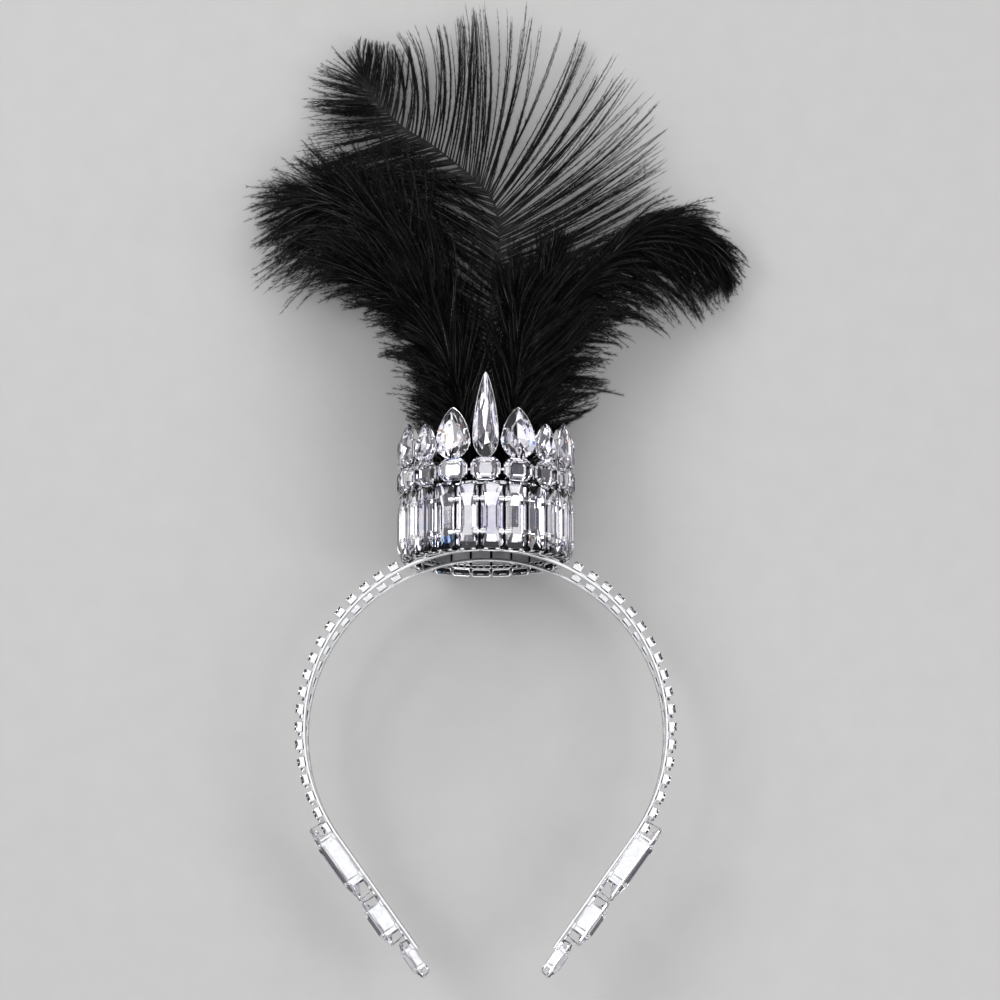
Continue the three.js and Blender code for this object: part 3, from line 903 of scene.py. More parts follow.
def wide_setting():
    """A rim, a claw at the middle of each cut corner, and a back."""
    rim = cut_corner_ring(WIDE_WIDTH, WIDE_HEIGHT, WIDE_RIM_INSET, WIDE_RIM_INSET, WIDE_RIM_Z, WIDE_CORNER)
    forms = [tube(rim, WIDE_RIM_WIRE, closed=True)]
    corner_x = WIDE_WIDTH / 2 - WIDE_RIM_INSET - WIDE_CORNER / 2
    corner_y = WIDE_HEIGHT / 2 - WIDE_RIM_INSET - WIDE_CORNER / 2
    for sx in (-1, 1):
        for sy in (-1, 1):
            path = [(sx * (corner_x + out), sy * (corner_y + out), z) for out, z in WIDE_CLAW_STOPS]
            forms.append(tube(path, **WIDE_CLAW))
    forms.append(placed(block(**WIDE_BACK), origin=(0, 0, BACK_Z)))
    return placed(joined(forms), origin=(0, WIDE_MIDDLE, 0))


cage += [placed(wide_setting(), around(angle)) for angle in column_angles]
print("with those of wide stones:", len(cage))

# %% Settings of the pointed stones
POINT_RIM_STEPS, POINT_RIM_Z, POINT_RIM_WIRE = 40, 30.9, 0.24
POINT_CLAW = {"radii": [0.34, 0.34, 0.34, 0.22], "sides": 8, "squash": 0.6}
POINT_CLAW_STOPS = [(0.2, 28.8), (0.22, 31.2), (0.02, 31.75), (-0.55, 32.15)]
POINT_CLAW_DEGREES = (-140, -40, 18, 162)
POINT_BACK_STEPS, POINT_BACK_SCALE = 30, 0.76
POINT_BACK_HEIGHTS = (27.7, 28.2)
POINT_STEM = {"width": 1.2, "height": 5.0, "depth": 1.0, "chamfer": 0.15}
POINT_STEM_RISE = 1.0


def outline_loop(outline, steps, z, scale=1.0):
    angles = np.linspace(0, 2 * math.pi, steps, endpoint=False)
    return np.column_stack([outline(angles) * scale, np.full(steps, z)])


def point_setting(kind):
    """A rim, four claws, a smaller back of the same outline, and a stem to the wide stone below."""
    outline = pear_outline(kind)
    rim = outline_loop(outline, POINT_RIM_STEPS, POINT_RIM_Z)
    forms = [tube(rim, POINT_RIM_WIRE, closed=True)]
    waist = np.array([0, waist_height(kind)])
    for on_rim in outline(np.radians(POINT_CLAW_DEGREES)):
        outward = unit(on_rim - waist)
        path = [(*(on_rim + outward * reach), z) for reach, z in POINT_CLAW_STOPS]
        forms.append(tube(path, **POINT_CLAW))
    back = [outline_loop(outline, POINT_BACK_STEPS, z, POINT_BACK_SCALE) for z in POINT_BACK_HEIGHTS]
    forms.append(skin(back))
    stem_y = POINT_STEM_RISE - kind["height"] / 2
    forms.append(placed(block(**POINT_STEM), origin=(0, stem_y, BACK_Z)))
    return placed(joined(forms), origin=(0, POINT_FOOT + kind["height"] / 2, 0))


point_settings = {word: point_setting(kind) for word, kind in POINT_KINDS.items()}
cage += [placed(point_settings[word], around(angle)) for word, angle in zip(POINT_ORDER, column_angles)]
print("with those of pointed stones:", len(cage))

# %% The ring and the links that tie the settings together, and the whole cage
TIE_STEPS = 96
TIE_SECTION = [(27.2, 24.2), (28.4, 24.2), (28.4, 25.4), (27.2, 25.4)]
LINK = {"width": 2.6, "height": 1.1, "depth": 1.1, "chamfer": 0.2}
LINK_Z = 29.4

tie_angles = np.linspace(0, 2 * math.pi, TIE_STEPS, endpoint=False)
tie_rings = [[(r * math.sin(a), y, r * math.cos(a)) for r, y in TIE_SECTION] for a in tie_angles]
cage.append(skin(tie_rings, closed=True))
link = placed(block(**LINK), origin=(0, WIDE_MIDDLE, LINK_Z))
half_column = math.pi / COLUMN_COUNT
cage += [placed(link, around(angle + half_column)) for angle in column_angles]
piece("crown_cage", joined(cage), cage_finishes, ["crown_frame"], crease=METAL_CREASE)

# %% [markdown]
# The headband
#
# Two flat strips run side by side over the head and come together towards the tips. Each is a round arch
# that ends in two straight stretches, and carries eighteen small claw cups on each side of the crown. A
# curve with a bevel could draw a strip, but the cups, the chain under them and the large stones at the
# ends all have to follow the same line. So one function gives the place and the directions at any length
# from the top, and everything on the band asks it.

# %% The strips' path
BAND_RADIUS = 65.8
BAND_CENTRE_Y = -62.8
BAND_ARC = math.radians(126)
BAND_STRAIGHT = 49.0
BAND_THICK, BAND_WIDTH = 1.0, 3.6
SPACING_TOP, SPACING_END = 12.5, 7.0
SPACING_START = math.radians(30)

arch_length = BAND_RADIUS * BAND_ARC
half_length = arch_length + BAND_STRAIGHT


def band_place(s):
    """The middle of a strip, its outward way and its way along, at a length s from the top."""
    angle = math.copysign(min(abs(s) / BAND_RADIUS, BAND_ARC), s)
    past = math.copysign(max(abs(s) - arch_length, 0.0), s)
    outward = np.array([math.sin(angle), math.cos(angle), 0.0])
    along = np.array([math.cos(angle), -math.sin(angle), 0.0])
    middle = outward * BAND_RADIUS + along * past + np.array([0.0, BAND_CENTRE_Y, 0.0])
    share = min(max((abs(angle) - SPACING_START) / (BAND_ARC - SPACING_START), 0.0), 1.0)
    share = share * share * (3 - 2 * share)
    middle[2] = SPACING_TOP + (SPACING_END - SPACING_TOP) * share
    return middle, outward, along


print("strip length, mm:", round(2 * half_length, 1))

# %% Bars along the band: the strips, and the chains that link the cups
BAR_STEP = 1.7
BAR_EDGE = 0.18
CUP_FIRST, CUP_PITCH, CUPS_PER_SIDE = 34.3, 6.21, 18
LEDGE_PAST = 1.5
LEDGE_LOW, LEDGE_HIGH = BAND_THICK / 2 - 0.1, BAND_THICK / 2 + 0.45
LEDGE_WIDTH = 2.2


def bar_along(front, start, end, low, high, width):
    """A flat bar along the band from one length to another, with broken edges."""
    stops = np.linspace(start, end, int(abs(end - start) / BAR_STEP) + 2)
    w, e = width / 2, BAR_EDGE
    section = [
        (low, -w + e), (low + e, -w), (high - e, -w), (high, -w + e),
        (high, w - e), (high - e, w), (low + e, w), (low, w - e),
    ]
    rings = []
    for s in stops:
        middle, outward, _ = band_place(s)
        middle = middle * (1, 1, front)
        rings.append([middle + outward * out + np.array([0, 0, depth]) for out, depth in section])
    return skin(rings)


def strip(front):
    return bar_along(front, -half_length, half_length, -BAND_THICK / 2, BAND_THICK / 2, BAND_WIDTH)


def ledge(front, side):
    """The narrow chain that links the cups of one side."""
    first = side * (CUP_FIRST - LEDGE_PAST)
    last = side * (CUP_FIRST + (CUPS_PER_SIDE - 1) * CUP_PITCH + LEDGE_PAST)
    return bar_along(front, first, last, LEDGE_LOW, LEDGE_HIGH, LEDGE_WIDTH)


print("faces of a strip:", len(strip(1)["sizes"]))

# %% [markdown]
# Cups
#
# A cup is a small square box with a wire rim and six claws, and a round stone sits in it. Between a box
# and the strip runs a thin near-black layer, and near-black notches lie between the claws: both are
# painted shade for the shadow in those gaps. These could be left out at this size, but then a row of
# cups melts into one bright bar. With them, each cup reads as a box of its own even when it is only ten
# pixels wide.

# %% One cup and its stone
CUP_BOX = {"width": 3.8, "height": 3.6, "depth": 1.9, "chamfer": 0.18}
CUP_BOX_Z = 1.52
# Painted shade: a near-black layer in the gap between the cup's box and the strip.
CUP_SHADE_LAYER = {"width": 3.5, "height": 3.5, "depth": 0.3, "chamfer": 0.05, "finish": PAINTED_SHADE}
CUP_JOINT_Z = 0.62
CUP_RIM = {"width": 3.4, "height": 3.2, "corner": 0.5, "z": 2.6, "steps": 2}
CUP_RIM_WIRE = 0.32
# Painted shadow: near-black notches between the claws.
CUP_SHADE_NOTCH = {"width": 2.8, "height": 0.3, "depth": 0.7, "chamfer": 0.05, "finish": PAINTED_SHADE}
CUP_NOTCH_Y, CUP_NOTCH_Z = 1.42, 2.95
CUP_CLAW_RADII = [0.36, 0.36, 0.34, 0.22]
CUP_CLAW_STOPS = [(1.4, 1.8), (1.48, 2.8), (1.34, 3.2), (1.0, 3.45)]
CUP_CLAW_STRETCH = 1.08
CUP_STONE = {"count": 8, "middle": (0, 0), "table": 0.58, "crown": 0.7, "girdle": 0.2, "depth": 2.2}
CUP_STONE_RADIUS = 1.62
CUP_STONE_TABLE = 3.45


def cup():
    """One claw cup: x along the strip, y across it and z outward from the strip's middle."""
    forms = [
        placed(block(**CUP_BOX), origin=(0, 0, CUP_BOX_Z)),
        placed(block(**CUP_SHADE_LAYER), origin=(0, 0, CUP_JOINT_Z)),
        tube(rounded_loop(**CUP_RIM), CUP_RIM_WIRE, closed=True),
    ]
    for sy in (-1, 1):
        forms.append(placed(block(**CUP_SHADE_NOTCH), origin=(0, CUP_NOTCH_Y * sy, CUP_NOTCH_Z)))
        for sx in (-1, 0, 1):
            path = [(CUP_CLAW_STRETCH * out * sx, out * sy, z) for out, z in CUP_CLAW_STOPS]
            forms.append(tube(path, CUP_CLAW_RADII))
    return joined(forms)


def round_outline(angles):
    return CUP_STONE_RADIUS * np.column_stack([np.cos(angles), np.sin(angles)])


one_cup = cup()
one_stone = placed(brilliant_stone(round_outline, **CUP_STONE), origin=(0, 0, CUP_STONE_TABLE))
print("faces of a cup and of its stone:", len(one_cup["sizes"]), len(one_stone["sizes"]))


# %% Both strips with their cups
def cup_frames(front):
    """The turn and the place of every cup on one strip."""
    frames = []
    for side in (-1, 1):
        for i in range(CUPS_PER_SIDE):
            middle, outward, along = band_place(side * (CUP_FIRST + i * CUP_PITCH))
            turn = np.column_stack([along, UP, outward])
            frames.append((turn, middle * (1, 1, front)))
    return frames


for word, front in (("front", 1), ("back", -1)):
    frames = cup_frames(front)
    metal = [strip(front), ledge(front, -1), ledge(front, 1)]
    metal += [placed(one_cup, turn, middle) for turn, middle in frames]
    # The strip's second finish is painted shade, for the cups' near-black layers and notches.
    piece(f"{word}_strip", joined(metal), [satin, painted_shade_metal], [f"band_{word}"], crease=METAL_CREASE)
    stones = [placed(one_stone, turn, middle) for turn, middle in frames]
    piece(f"{word}_strip_stones", joined(stones), [glass, foil])

# %% [markdown]
# The band's ends
#
# On each straight end sit three large stones, graded towards the tip. They face outward, so the camera
# sees them from the side: the box of the setting, the claws over the girdle and the slopes of the cut.
# From there a plain block of glass would do for the outline. But the slopes are what flashes, so these
# stones have the full step cut, and their settings are open boxes of wire, walls and claws.

# %% End stones
END_STONES = [
    {"along": 7.2, "length": 31.0, "width": 10.0, "depth": 5.4, "table": 8.6},
    {"along": 33.4, "length": 18.0, "width": 13.0, "depth": 5.4, "table": 8.6},
    {"along": 51.2, "length": 14.0, "width": 10.0, "depth": 4.0, "table": 6.2},
]
END_CORNER = 1.6
END_SLOPE = 0.24
END_GIRDLE_FOOT = 2.1


def end_stone(row):
    slope = END_SLOPE * row["length"]
    below = row["depth"] - END_GIRDLE_FOOT
    levels = [
        (2.1, slope, 0.0, 1.0),
        (1.0, 0.45 * slope, -0.9, 1.3),
        (0.0, 0.0, -1.7, END_CORNER),
        (0.0, 0.0, -END_GIRDLE_FOOT, END_CORNER),
        (1.5, 1.9, -END_GIRDLE_FOOT - 0.4 * below, 1.1),
        (3.2, 4.2, -END_GIRDLE_FOOT - 0.8 * below, 0.6),
        (4.2, 5.8, -row["depth"], 0.3),
    ]
    stone = step_stone(row["width"], row["length"], levels)
    return placed(stone, origin=(0, row["along"], row["table"]))


print("end stones on each side, lengths in mm:", [row["length"] for row in END_STONES])

# %% Wires and claws of an end stone's setting
END_LOW = BAND_THICK / 2 + 0.3
END_RIM = {"grow": 0.5, "drop": 0.35, "wire": 0.4}
END_FOOT = {"shrink": 0.6, "rise": 0.5, "wire": 0.5}
END_WIRE_SIDES = 8
END_CLAW_STAND, END_CLAW_FOOT, END_CLAW_RISE = 0.35, 0.5, 0.3
END_SIDE_HOOK = [(0.25, 0.8), (1.3, 1.75)]
END_TIP_HOOK = [(0.25, 0.5), (1.2, 0.9)]


def hook_stops(half, girdle, hook):
    """Stops of a claw, as places outward from the stone's middle and heights: up the side, then over."""
    out = half + END_CLAW_STAND
    stops = [(out - END_CLAW_FOOT, END_LOW + END_CLAW_RISE), (out, girdle)]
    return stops + [(out - back, girdle + rise) for back, rise in hook]


def end_box(width, length, girdle):
    """The wires round the top and the foot of a setting."""
    grow, shrink = END_RIM["grow"], END_FOOT["shrink"]
    rim = rounded_loop(width + grow, length + grow, END_CORNER, girdle - END_RIM["drop"])
    foot = rounded_loop(width - shrink, length - shrink, END_CORNER, END_LOW + END_FOOT["rise"])
    return [
        tube(rim, END_RIM["wire"], END_WIRE_SIDES, closed=True),
        tube(foot, END_FOOT["wire"], END_WIRE_SIDES, closed=True),
    ]


print("stops of a claw:", len(hook_stops(5.0, 6.0, END_SIDE_HOOK)))

# %% A whole end stone's setting
END_GIRDLE_DROP = 2.0
END_WALL = {"thick": 0.5, "share": 0.66, "inset": 0.1, "short": 0.4, "drop": 0.1, "chamfer": 0.12}
END_BAR = {"height": 2.4, "depth": 0.9, "chamfer": 0.15}
END_BAR_SHORT = 1.0
END_BAR_REACH = 2 * (SPACING_END + BAND_WIDTH / 2)
END_CLAW_SHARE = 0.27
END_SIDE_CLAW = {"radii": [1.0, 1.0, 0.95, 0.7], "sides": 8, "squash": 0.36}
END_TIP_CLAW = {"radii": [0.9, 0.9, 0.85, 0.6], "sides": 8, "squash": 0.36}


def end_setting(row):
    """One stone's setting: x across the strips, y along them and z outward."""
    length, width, girdle = row["length"], row["width"], row["table"] - END_GIRDLE_DROP
    claw_places = (-END_CLAW_SHARE * length, END_CLAW_SHARE * length)
    forms = end_box(width, length, girdle)
    wall_depth = girdle - END_LOW - END_WALL["short"]
    wall = block(END_WALL["thick"], END_WALL["share"] * length, wall_depth, END_WALL["chamfer"])
    wall_x, wall_z = width / 2 - END_WALL["inset"], (girdle + END_LOW) / 2 - END_WALL["drop"]
    for sx in (-1, 1):
        forms.append(placed(wall, origin=(sx * wall_x, 0, wall_z)))
        for y in claw_places:
            path = [(sx * out, y, z) for out, z in hook_stops(width / 2, girdle, END_SIDE_HOOK)]
            forms.append(tube(path, **END_SIDE_CLAW))
    for sy in (-1, 1):
        path = [(0, sy * out, z) for out, z in hook_stops(length / 2, girdle, END_TIP_HOOK)]
        forms.append(tube(path, **END_TIP_CLAW))
    for y in claw_places:
        past_strips = row["along"] + y > BAND_STRAIGHT
        bar_width = width - END_BAR_SHORT if past_strips else END_BAR_REACH
        forms.append(placed(block(bar_width, **END_BAR), origin=(0, y, END_LOW + END_FOOT["rise"])))
    return placed(joined(forms), origin=(0, row["along"], 0))


print("faces of the end settings:", [len(end_setting(row)["sizes"]) for row in END_STONES])

# %% Both ends
SPINE_BEFORE, SPINE_PAST = 8.4, 3.8
SPINE = {"width": 4.0, "depth": 0.9, "chamfer": 0.15}
SPINE_Z = BAND_THICK / 2 + 0.8

spine_start = END_STONES[0]["along"] - SPINE_BEFORE
spine_end = END_STONES[-1]["along"] + SPINE_PAST
spine = block(height=spine_end - spine_start, **SPINE)
spine = placed(spine, origin=(0, (spine_start + spine_end) / 2, SPINE_Z))
for word, side in (("left", -1), ("right", 1)):
    middle, outward, along = band_place(side * arch_length)
    middle[2] = 0.0
    end_turn = np.column_stack([UP, side * along, outward])
    stones = [placed(end_stone(row), end_turn, middle) for row in END_STONES]
    nodes = [f"{word}_end_stone_{i + 1}" for i in range(len(END_STONES))]
    piece(f"{word}_end_stones", joined(stones), [glass, foil], nodes)
    metal = [placed(end_setting(row), end_turn, middle) for row in END_STONES]
    metal.append(placed(spine, end_turn, middle))
    nodes = [f"{word}_end_setting"]
    piece(f"{word}_end_mount", joined(metal), [silver], nodes, crease=METAL_CREASE)

# %% [markdown]
# The plume's base
#
# The quills stand in a disc of black felt inside the crown. A cylinder would do, but the camera sees its
# underside through the crown's open foot, and a flat end catches no light at all. So it is turned from
# a profile with a soft edge and a slight dome.

# %% Felt disc
SOFT_CREASE = 60
DISC_STEPS = 48
DISC_LOW, DISC_HIGH = 11.6, 14.4
DISC_PROFILE = [
    (12.0, 11.75), (22.0, 12.1), (25.6, 12.5), (26.5, 13.1), (25.6, 13.8), (22.0, 14.1), (12.0, 14.3),
]


def felt_disc():
    angles = np.linspace(0, 2 * math.pi, DISC_STEPS, endpoint=False)
    points = [(r * math.sin(a), y, r * math.cos(a)) for r, y in DISC_PROFILE for a in angles]
    low, high = len(points), len(points) + 1
    points += [(0, DISC_LOW, 0), (0, DISC_HIGH, 0)]
    faces = []
    for i in range(len(DISC_PROFILE) - 1):
        faces += ring_quads(i * DISC_STEPS, (i + 1) * DISC_STEPS, DISC_STEPS)
    last = low - DISC_STEPS
    for i in range(DISC_STEPS):
        after = (i + 1) % DISC_STEPS
        faces.append((low, i, after))
        faces.append((high, last + after, last + i))
    return form(points, faces)


piece("plume_felt_disc", felt_disc(), [felt], ["plume_base"], crease=SOFT_CREASE)

# %% [markdown]
# Feathers
#
# A feather is a tapering quill with barbs on both sides, and every barb is fringed with barbules so fine
# that they only show as a soft edge. Blender's hair could draw this, but hair isn't a mesh, so it can't
# go with the part. A picture of a feather on a flat card would be a mesh, but a card has no depth and
# its edge is one clean line. Here each barb is a thin ribbon and each barbule a sliver of a triangle.
#
# The steps follow how a feather grows. First the line of the quill and the places of the barbs on it.
# Then every barb's habits: its length, its angle to the quill, its curl, its lift and its fall. Then
# the barbs as they would grow alone. Last, neighbours cling together in clumps, as real barbs do, and
# what is left sways a little by itself.

# %% Quill lines, and places of the barbs along them
CURVE_STEPS = 24
FINE_STEPS = 400
PLACE_MEAN, PLACE_SPREAD = 0.5, 0.25


def smooth_line(points, count):
    """A smooth curve through the points, with evenly spaced stops."""
    points = np.asarray(points, float)
    before = 2 * points[:1] - points[1:2]
    after = 2 * points[-1:] - points[-2:-1]
    padded = np.concatenate([before, points, after])
    share = np.linspace(0, 1, CURVE_STEPS, endpoint=False)[:, None]
    runs = []
    for a, b, c, d in zip(padded, padded[1:], padded[2:], padded[3:]):
        straight = 2 * b + (c - a) * share
        bend = (2 * a - 5 * b + 4 * c - d) * share ** 2
        swing = (3 * b - 3 * c + d - a) * share ** 3
        runs.append(0.5 * (straight + bend + swing))
    line = np.concatenate(runs + [points[-1:]])
    length = np.concatenate([[0], np.cumsum(np.linalg.norm(np.diff(line, axis=0), axis=1))])
    stops = np.linspace(0, length[-1], count)
    return np.column_stack([np.interp(stops, length, column) for column in line.T])


def barb_places(line, first, last, vane, rng):
    """Places of the barbs along the quill, closer together where the vane is crowded."""
    run = np.linalg.norm(np.diff(line, axis=0), axis=1).sum()
    fine = np.linspace(first, last, FINE_STEPS)
    crowd = np.interp(fine, *np.transpose(vane["crowd"]))
    number = np.cumsum(crowd) * run * (last - first) / (len(fine) * vane["pitch"])
    count = int(number[-1])
    wanted = np.arange(count) + rng.normal(PLACE_MEAN, PLACE_SPREAD, count)
    return np.sort(np.interp(wanted, number, fine))


def at_places(along_line, place):
    """Values that are given along the whole quill, read at these places."""
    stops = np.linspace(0, 1, len(along_line))
    return np.column_stack([np.interp(place, stops, column) for column in along_line.T])


print("stops on a test line:", len(smooth_line([(0, 0, 0), (0, 1, 0), (1, 2, 0)], 5)))

# %% Habits of the barbs
CLUMP_AND_BARB_SPREAD = {
    "length": (0.07, 0.05),
    "angle": (4.0, 2.5),
    "curl": (8.0, 4.0),
    "lift": (5.0, 3.0),
}
LENGTH_LIMITS = (0.5, 1.25)
DOWN_LENGTH = (0.3, 0.7)
COVER_ANGLE, COVER_LIFT = 0.3, 10


def barb_habits(place, rows, vane, rng):
    """Each barb's clump, and its length, angle, curl, lift and fall. Rows are read at its place."""
    count = len(place)
    columns = (np.interp(place, rows[:, 0], column) for column in rows.T[1:])
    length, angle, curl, lift, fall = columns
    clump = np.cumsum(rng.random(count) < 1 / vane["clump"])
    clumps = clump[-1] + 1

    def vary(word):
        of_clump, of_barb = CLUMP_AND_BARB_SPREAD[word]
        return vane["loose"] * (rng.normal(0, of_clump, clumps)[clump] + rng.normal(0, of_barb, count))

    length = length * np.clip(1 + vary("length"), *LENGTH_LIMITS)
    angle = angle + vary("angle")
    curl = curl + vary("curl")
    lift = lift + vary("lift")
    short = rng.random(count) < vane["down"]
    length = np.where(short, length * rng.uniform(*DOWN_LENGTH, count), length)
    covering = rng.random(count) < vane["cover"]
    angle = np.where(covering, COVER_ANGLE * angle, angle)
    lift = np.where(covering, lift + COVER_LIFT, lift)
    return clump, {"length": length, "angle": angle, "curl": curl, "lift": lift, "fall": fall}


print("habits that vary:", list(CLUMP_AND_BARB_SPREAD))

# %% Barbs as they would grow alone, and gathered in clumps
BARB_STEPS = 11
LIFT_LOSS = 0.6
GATHER_POWER = 0.9
TIP_PLACES, TIP_PULL = [0.86, 0.96], [1.0, 0.4]

barb_share = np.linspace(0, 1, BARB_STEPS + 1)


def free_barbs(root, ahead, sideways, side, habit):
    """Paths out from the quill that turn and rise step by step, and fall more towards the tip."""
    up = np.cross(sideways, ahead) * side
    middles = (np.arange(BARB_STEPS) + 0.5) / BARB_STEPS
    turn = np.radians(habit["angle"][:, None] + habit["curl"][:, None] * middles)
    rise = np.radians(habit["lift"][:, None] * (1 - LIFT_LOSS * middles))
    way = (
        (np.cos(rise) * np.cos(turn))[..., None] * ahead[:, None]
        + (np.cos(rise) * np.sin(turn))[..., None] * sideways[:, None]
        + np.sin(rise)[..., None] * up[:, None]
    )
    steps = way * (habit["length"] / BARB_STEPS)[:, None, None]
    path = np.concatenate([root[:, None], root[:, None] + np.cumsum(steps, axis=1)], axis=1)
    path[..., 2] -= habit["fall"][:, None] * barb_share ** 2
    return path


def gathered(path, place, clump, vane):
    """Barbs drawn to the middle one of their clump: by the hold at the quill, by the pull at the tip."""
    numbers = np.arange(clump[-1] + 1)
    first = np.searchsorted(clump, numbers, side="left")
    last = np.searchsorted(clump, numbers, side="right") - 1
    leader = (first + last) // 2
    at_tip = vane["pull"] * np.interp(place, TIP_PLACES, TIP_PULL)[:, None]
    pull = vane["hold"] + (at_tip - vane["hold"]) * barb_share ** GATHER_POWER
    return path + (path[leader[clump]] - path) * pull[..., None]


print("stops on a barb:", len(barb_share))

# %% Room for the barbs: inside the crown's mouth, and above the floor
MOUTH_HEIGHTS = [40, 51, 62, 90]
MOUTH_RADII = [24.0, 25.5, 44.0, 400.0]
DROP_HALF_WIDTH, DROP_TOP, DROP_BACK = 7, 66, 26.0
PLUME_FLOOR = -32.4
FLOOR_SPREAD = 0.6
SWAY_WAVES, SWAY_PHASE, SWAY_SIZE = (3, 7), (0, 6.3), 0.5


def in_the_mouth(points):
    """Keeps the plume inside the crown until it is above the stones, and behind the long drop."""
    spread = np.interp(points[..., 1], MOUTH_HEIGHTS, MOUTH_RADII)
    radius = np.hypot(points[..., 0], points[..., 2])
    squeeze = np.minimum(1.0, spread / np.maximum(radius, TINY))
    points = points * np.stack([squeeze, np.ones_like(squeeze), squeeze], axis=-1)
    behind_drop = (np.abs(points[..., 0]) < DROP_HALF_WIDTH) & (points[..., 1] < DROP_TOP)
    points[..., 2] = np.where(behind_drop, np.minimum(points[..., 2], DROP_BACK), points[..., 2])
    return points


def barb_lines(line, rows, side, vane, rng):
    """Paths of one side's barbs. A row is a place along the quill, length, angle, curl, lift and fall."""
    rows = np.asarray(rows, float)
    place = barb_places(line, rows[0, 0], rows[-1, 0], vane, rng)
    clump, habit = barb_habits(place, rows, vane, rng)
    ahead = unit(at_places(unit(np.gradient(line, axis=0)), place))
    sideways = unit(np.cross(ahead, UP)) * side
    path = free_barbs(at_places(line, place), ahead, sideways, side, habit)
    path = gathered(path, place, clump, vane)
    each = (len(place), 1)
    waves = rng.uniform(*SWAY_WAVES, each)
    phase = rng.uniform(*SWAY_PHASE, each)
    sway = np.sin(barb_share * waves + phase) * barb_share * rng.normal(0, SWAY_SIZE, each)
    path = in_the_mouth(path + sway[..., None] * sideways[:, None])
    path[..., 2] = np.maximum(path[..., 2], PLUME_FLOOR + rng.uniform(0, FLOOR_SPREAD, each))
    return path, habit["length"]


print("room at the top of the crown's mouth, mm:", MOUTH_RADII[1])

# %% Barbs as ribbons
BARB_WIDTH = 0.5
BARB_TIP, BARB_TAPER = 0.05, 0.7
TWIST_SPREAD = 0.7
TWIST_TILT = (0.6, 0.4)


def barb_frames(path, rng):
    """The way ahead and the way across at every stop of every barb, each barb twisted by its own angle."""
    ahead = unit(np.gradient(path, axis=1))
    twist = rng.normal(0, TWIST_SPREAD, len(path))
    tilt_x, tilt_y = TWIST_TILT
    up = np.stack([np.sin(twist) * tilt_x, np.sin(twist) * tilt_y, np.cos(twist)], axis=-1)
    wide = unit(np.cross(ahead, up[:, None]))
    return ahead, wide


def ribbons(path, wide):
    count, stops = path.shape[:2]
    taper = np.clip(1 + BARB_TIP - barb_share, BARB_TIP, 1) ** BARB_TAPER
    half = (BARB_WIDTH / 2 * taper)[None, :, None]
    points = np.stack([path - wide * half, path + wide * half], axis=2)
    base = (np.arange(count)[:, None] * stops + np.arange(stops - 1)[None]) * 2
    corners = np.stack([base, base + 1, base + 3, base + 2], axis=-1).reshape(-1)
    return even_form(points, corners, 4, BARB)


print("widest barb, mm:", BARB_WIDTH)

# %% Barbules as slivers
BARBULES_AT_LEAST = 4
BARBULE_PLACES = (0.08, 0.97)
BARBULE_FOOT = 0.15
BARBULE_SIZES = (0.6, 1.25)
BARBULE_LEAST, BARBULE_SWELL, SWELL_POWER = 0.38, 0.62, 0.75
ROLL_SPREAD, LEAN_SPREAD = 0.75, 0.14


def barbules(path, ahead, wide, lengths, vane, rng):
    """Slivers on both sides of every barb, one for each fringe of its length."""
    per_barb = np.maximum((lengths / vane["fringe"]).astype(int), BARBULES_AT_LEAST) * 2
    barb = np.repeat(np.arange(len(path)), per_barb)
    count = len(barb)
    share = rng.uniform(*BARBULE_PLACES, count)
    slot = share * BARB_STEPS
    step = slot.astype(int)
    part = (slot - step)[:, None]
    foot = path[barb, step] * (1 - part) + path[barb, step + 1] * part
    way = ahead[barb, step]
    across = wide[barb, step]
    third = np.cross(across, way)
    roll = rng.normal(0, ROLL_SPREAD, count) + np.where(rng.random(count) < 0.5, 0, math.pi)
    out = np.cos(roll)[:, None] * across + np.sin(roll)[:, None] * third
    lean = rng.normal(vane["lean"], LEAN_SPREAD, count)[:, None]
    swell = BARBULE_LEAST + BARBULE_SWELL * np.sin(math.pi * share ** SWELL_POWER)
    size = vane["reach"] * swell * rng.uniform(*BARBULE_SIZES, count)
    tip = foot + (np.cos(lean) * way + np.sin(lean) * out) * size[:, None]
    half = way * BARBULE_FOOT
    points = np.stack([foot - half, foot + half, tip], axis=1)
    points[..., 2] = np.maximum(points[..., 2], PLUME_FLOOR)
    return even_form(points, np.arange(3 * count), 3, BARBULE)


print("width of a barbule's foot, mm:", 2 * BARBULE_FOOT)

# %% A whole feather, with its quill a little behind the barbs
QUILL_STEPS, QUILL_SIDES = 90, 7
QUILL_TIP, QUILL_TAPER = 0.16, 0.8
QUILL_SQUASH = 0.8
QUILL_BEHIND = np.array([0.0, 0.0, 0.9])


def feather(name, spine, left, right, vanes, seed, quill):
    """One feather: the stops and the radius of its quill, and the rows and the kinds of its vanes."""
    rng = np.random.default_rng(seed)
    line = smooth_line(spine, QUILL_STEPS)
    radii = quill * np.linspace(1.0, QUILL_TIP, QUILL_STEPS) ** QUILL_TAPER
    behind = line - radii[:, None] * QUILL_BEHIND
    forms = [tube(behind, radii, QUILL_SIDES, QUILL_SQUASH, finish=QUILL)]
    for rows, side, vane in ((left, -1, vanes[0]), (right, 1, vanes[1])):
        path, lengths = barb_lines(line, rows, side, vane, rng)
        ahead, wide = barb_frames(path, rng)
        forms.append(ribbons(path, wide))
        forms.append(barbules(path, ahead, wide, lengths, vane, rng))
    plumage = joined(forms)
    piece(name + "_plumage", plumage, plume_finishes, [name], outward=False, crease=SOFT_CREASE)


print("a feather has the finishes:", [finish.name for finish in plume_finishes])

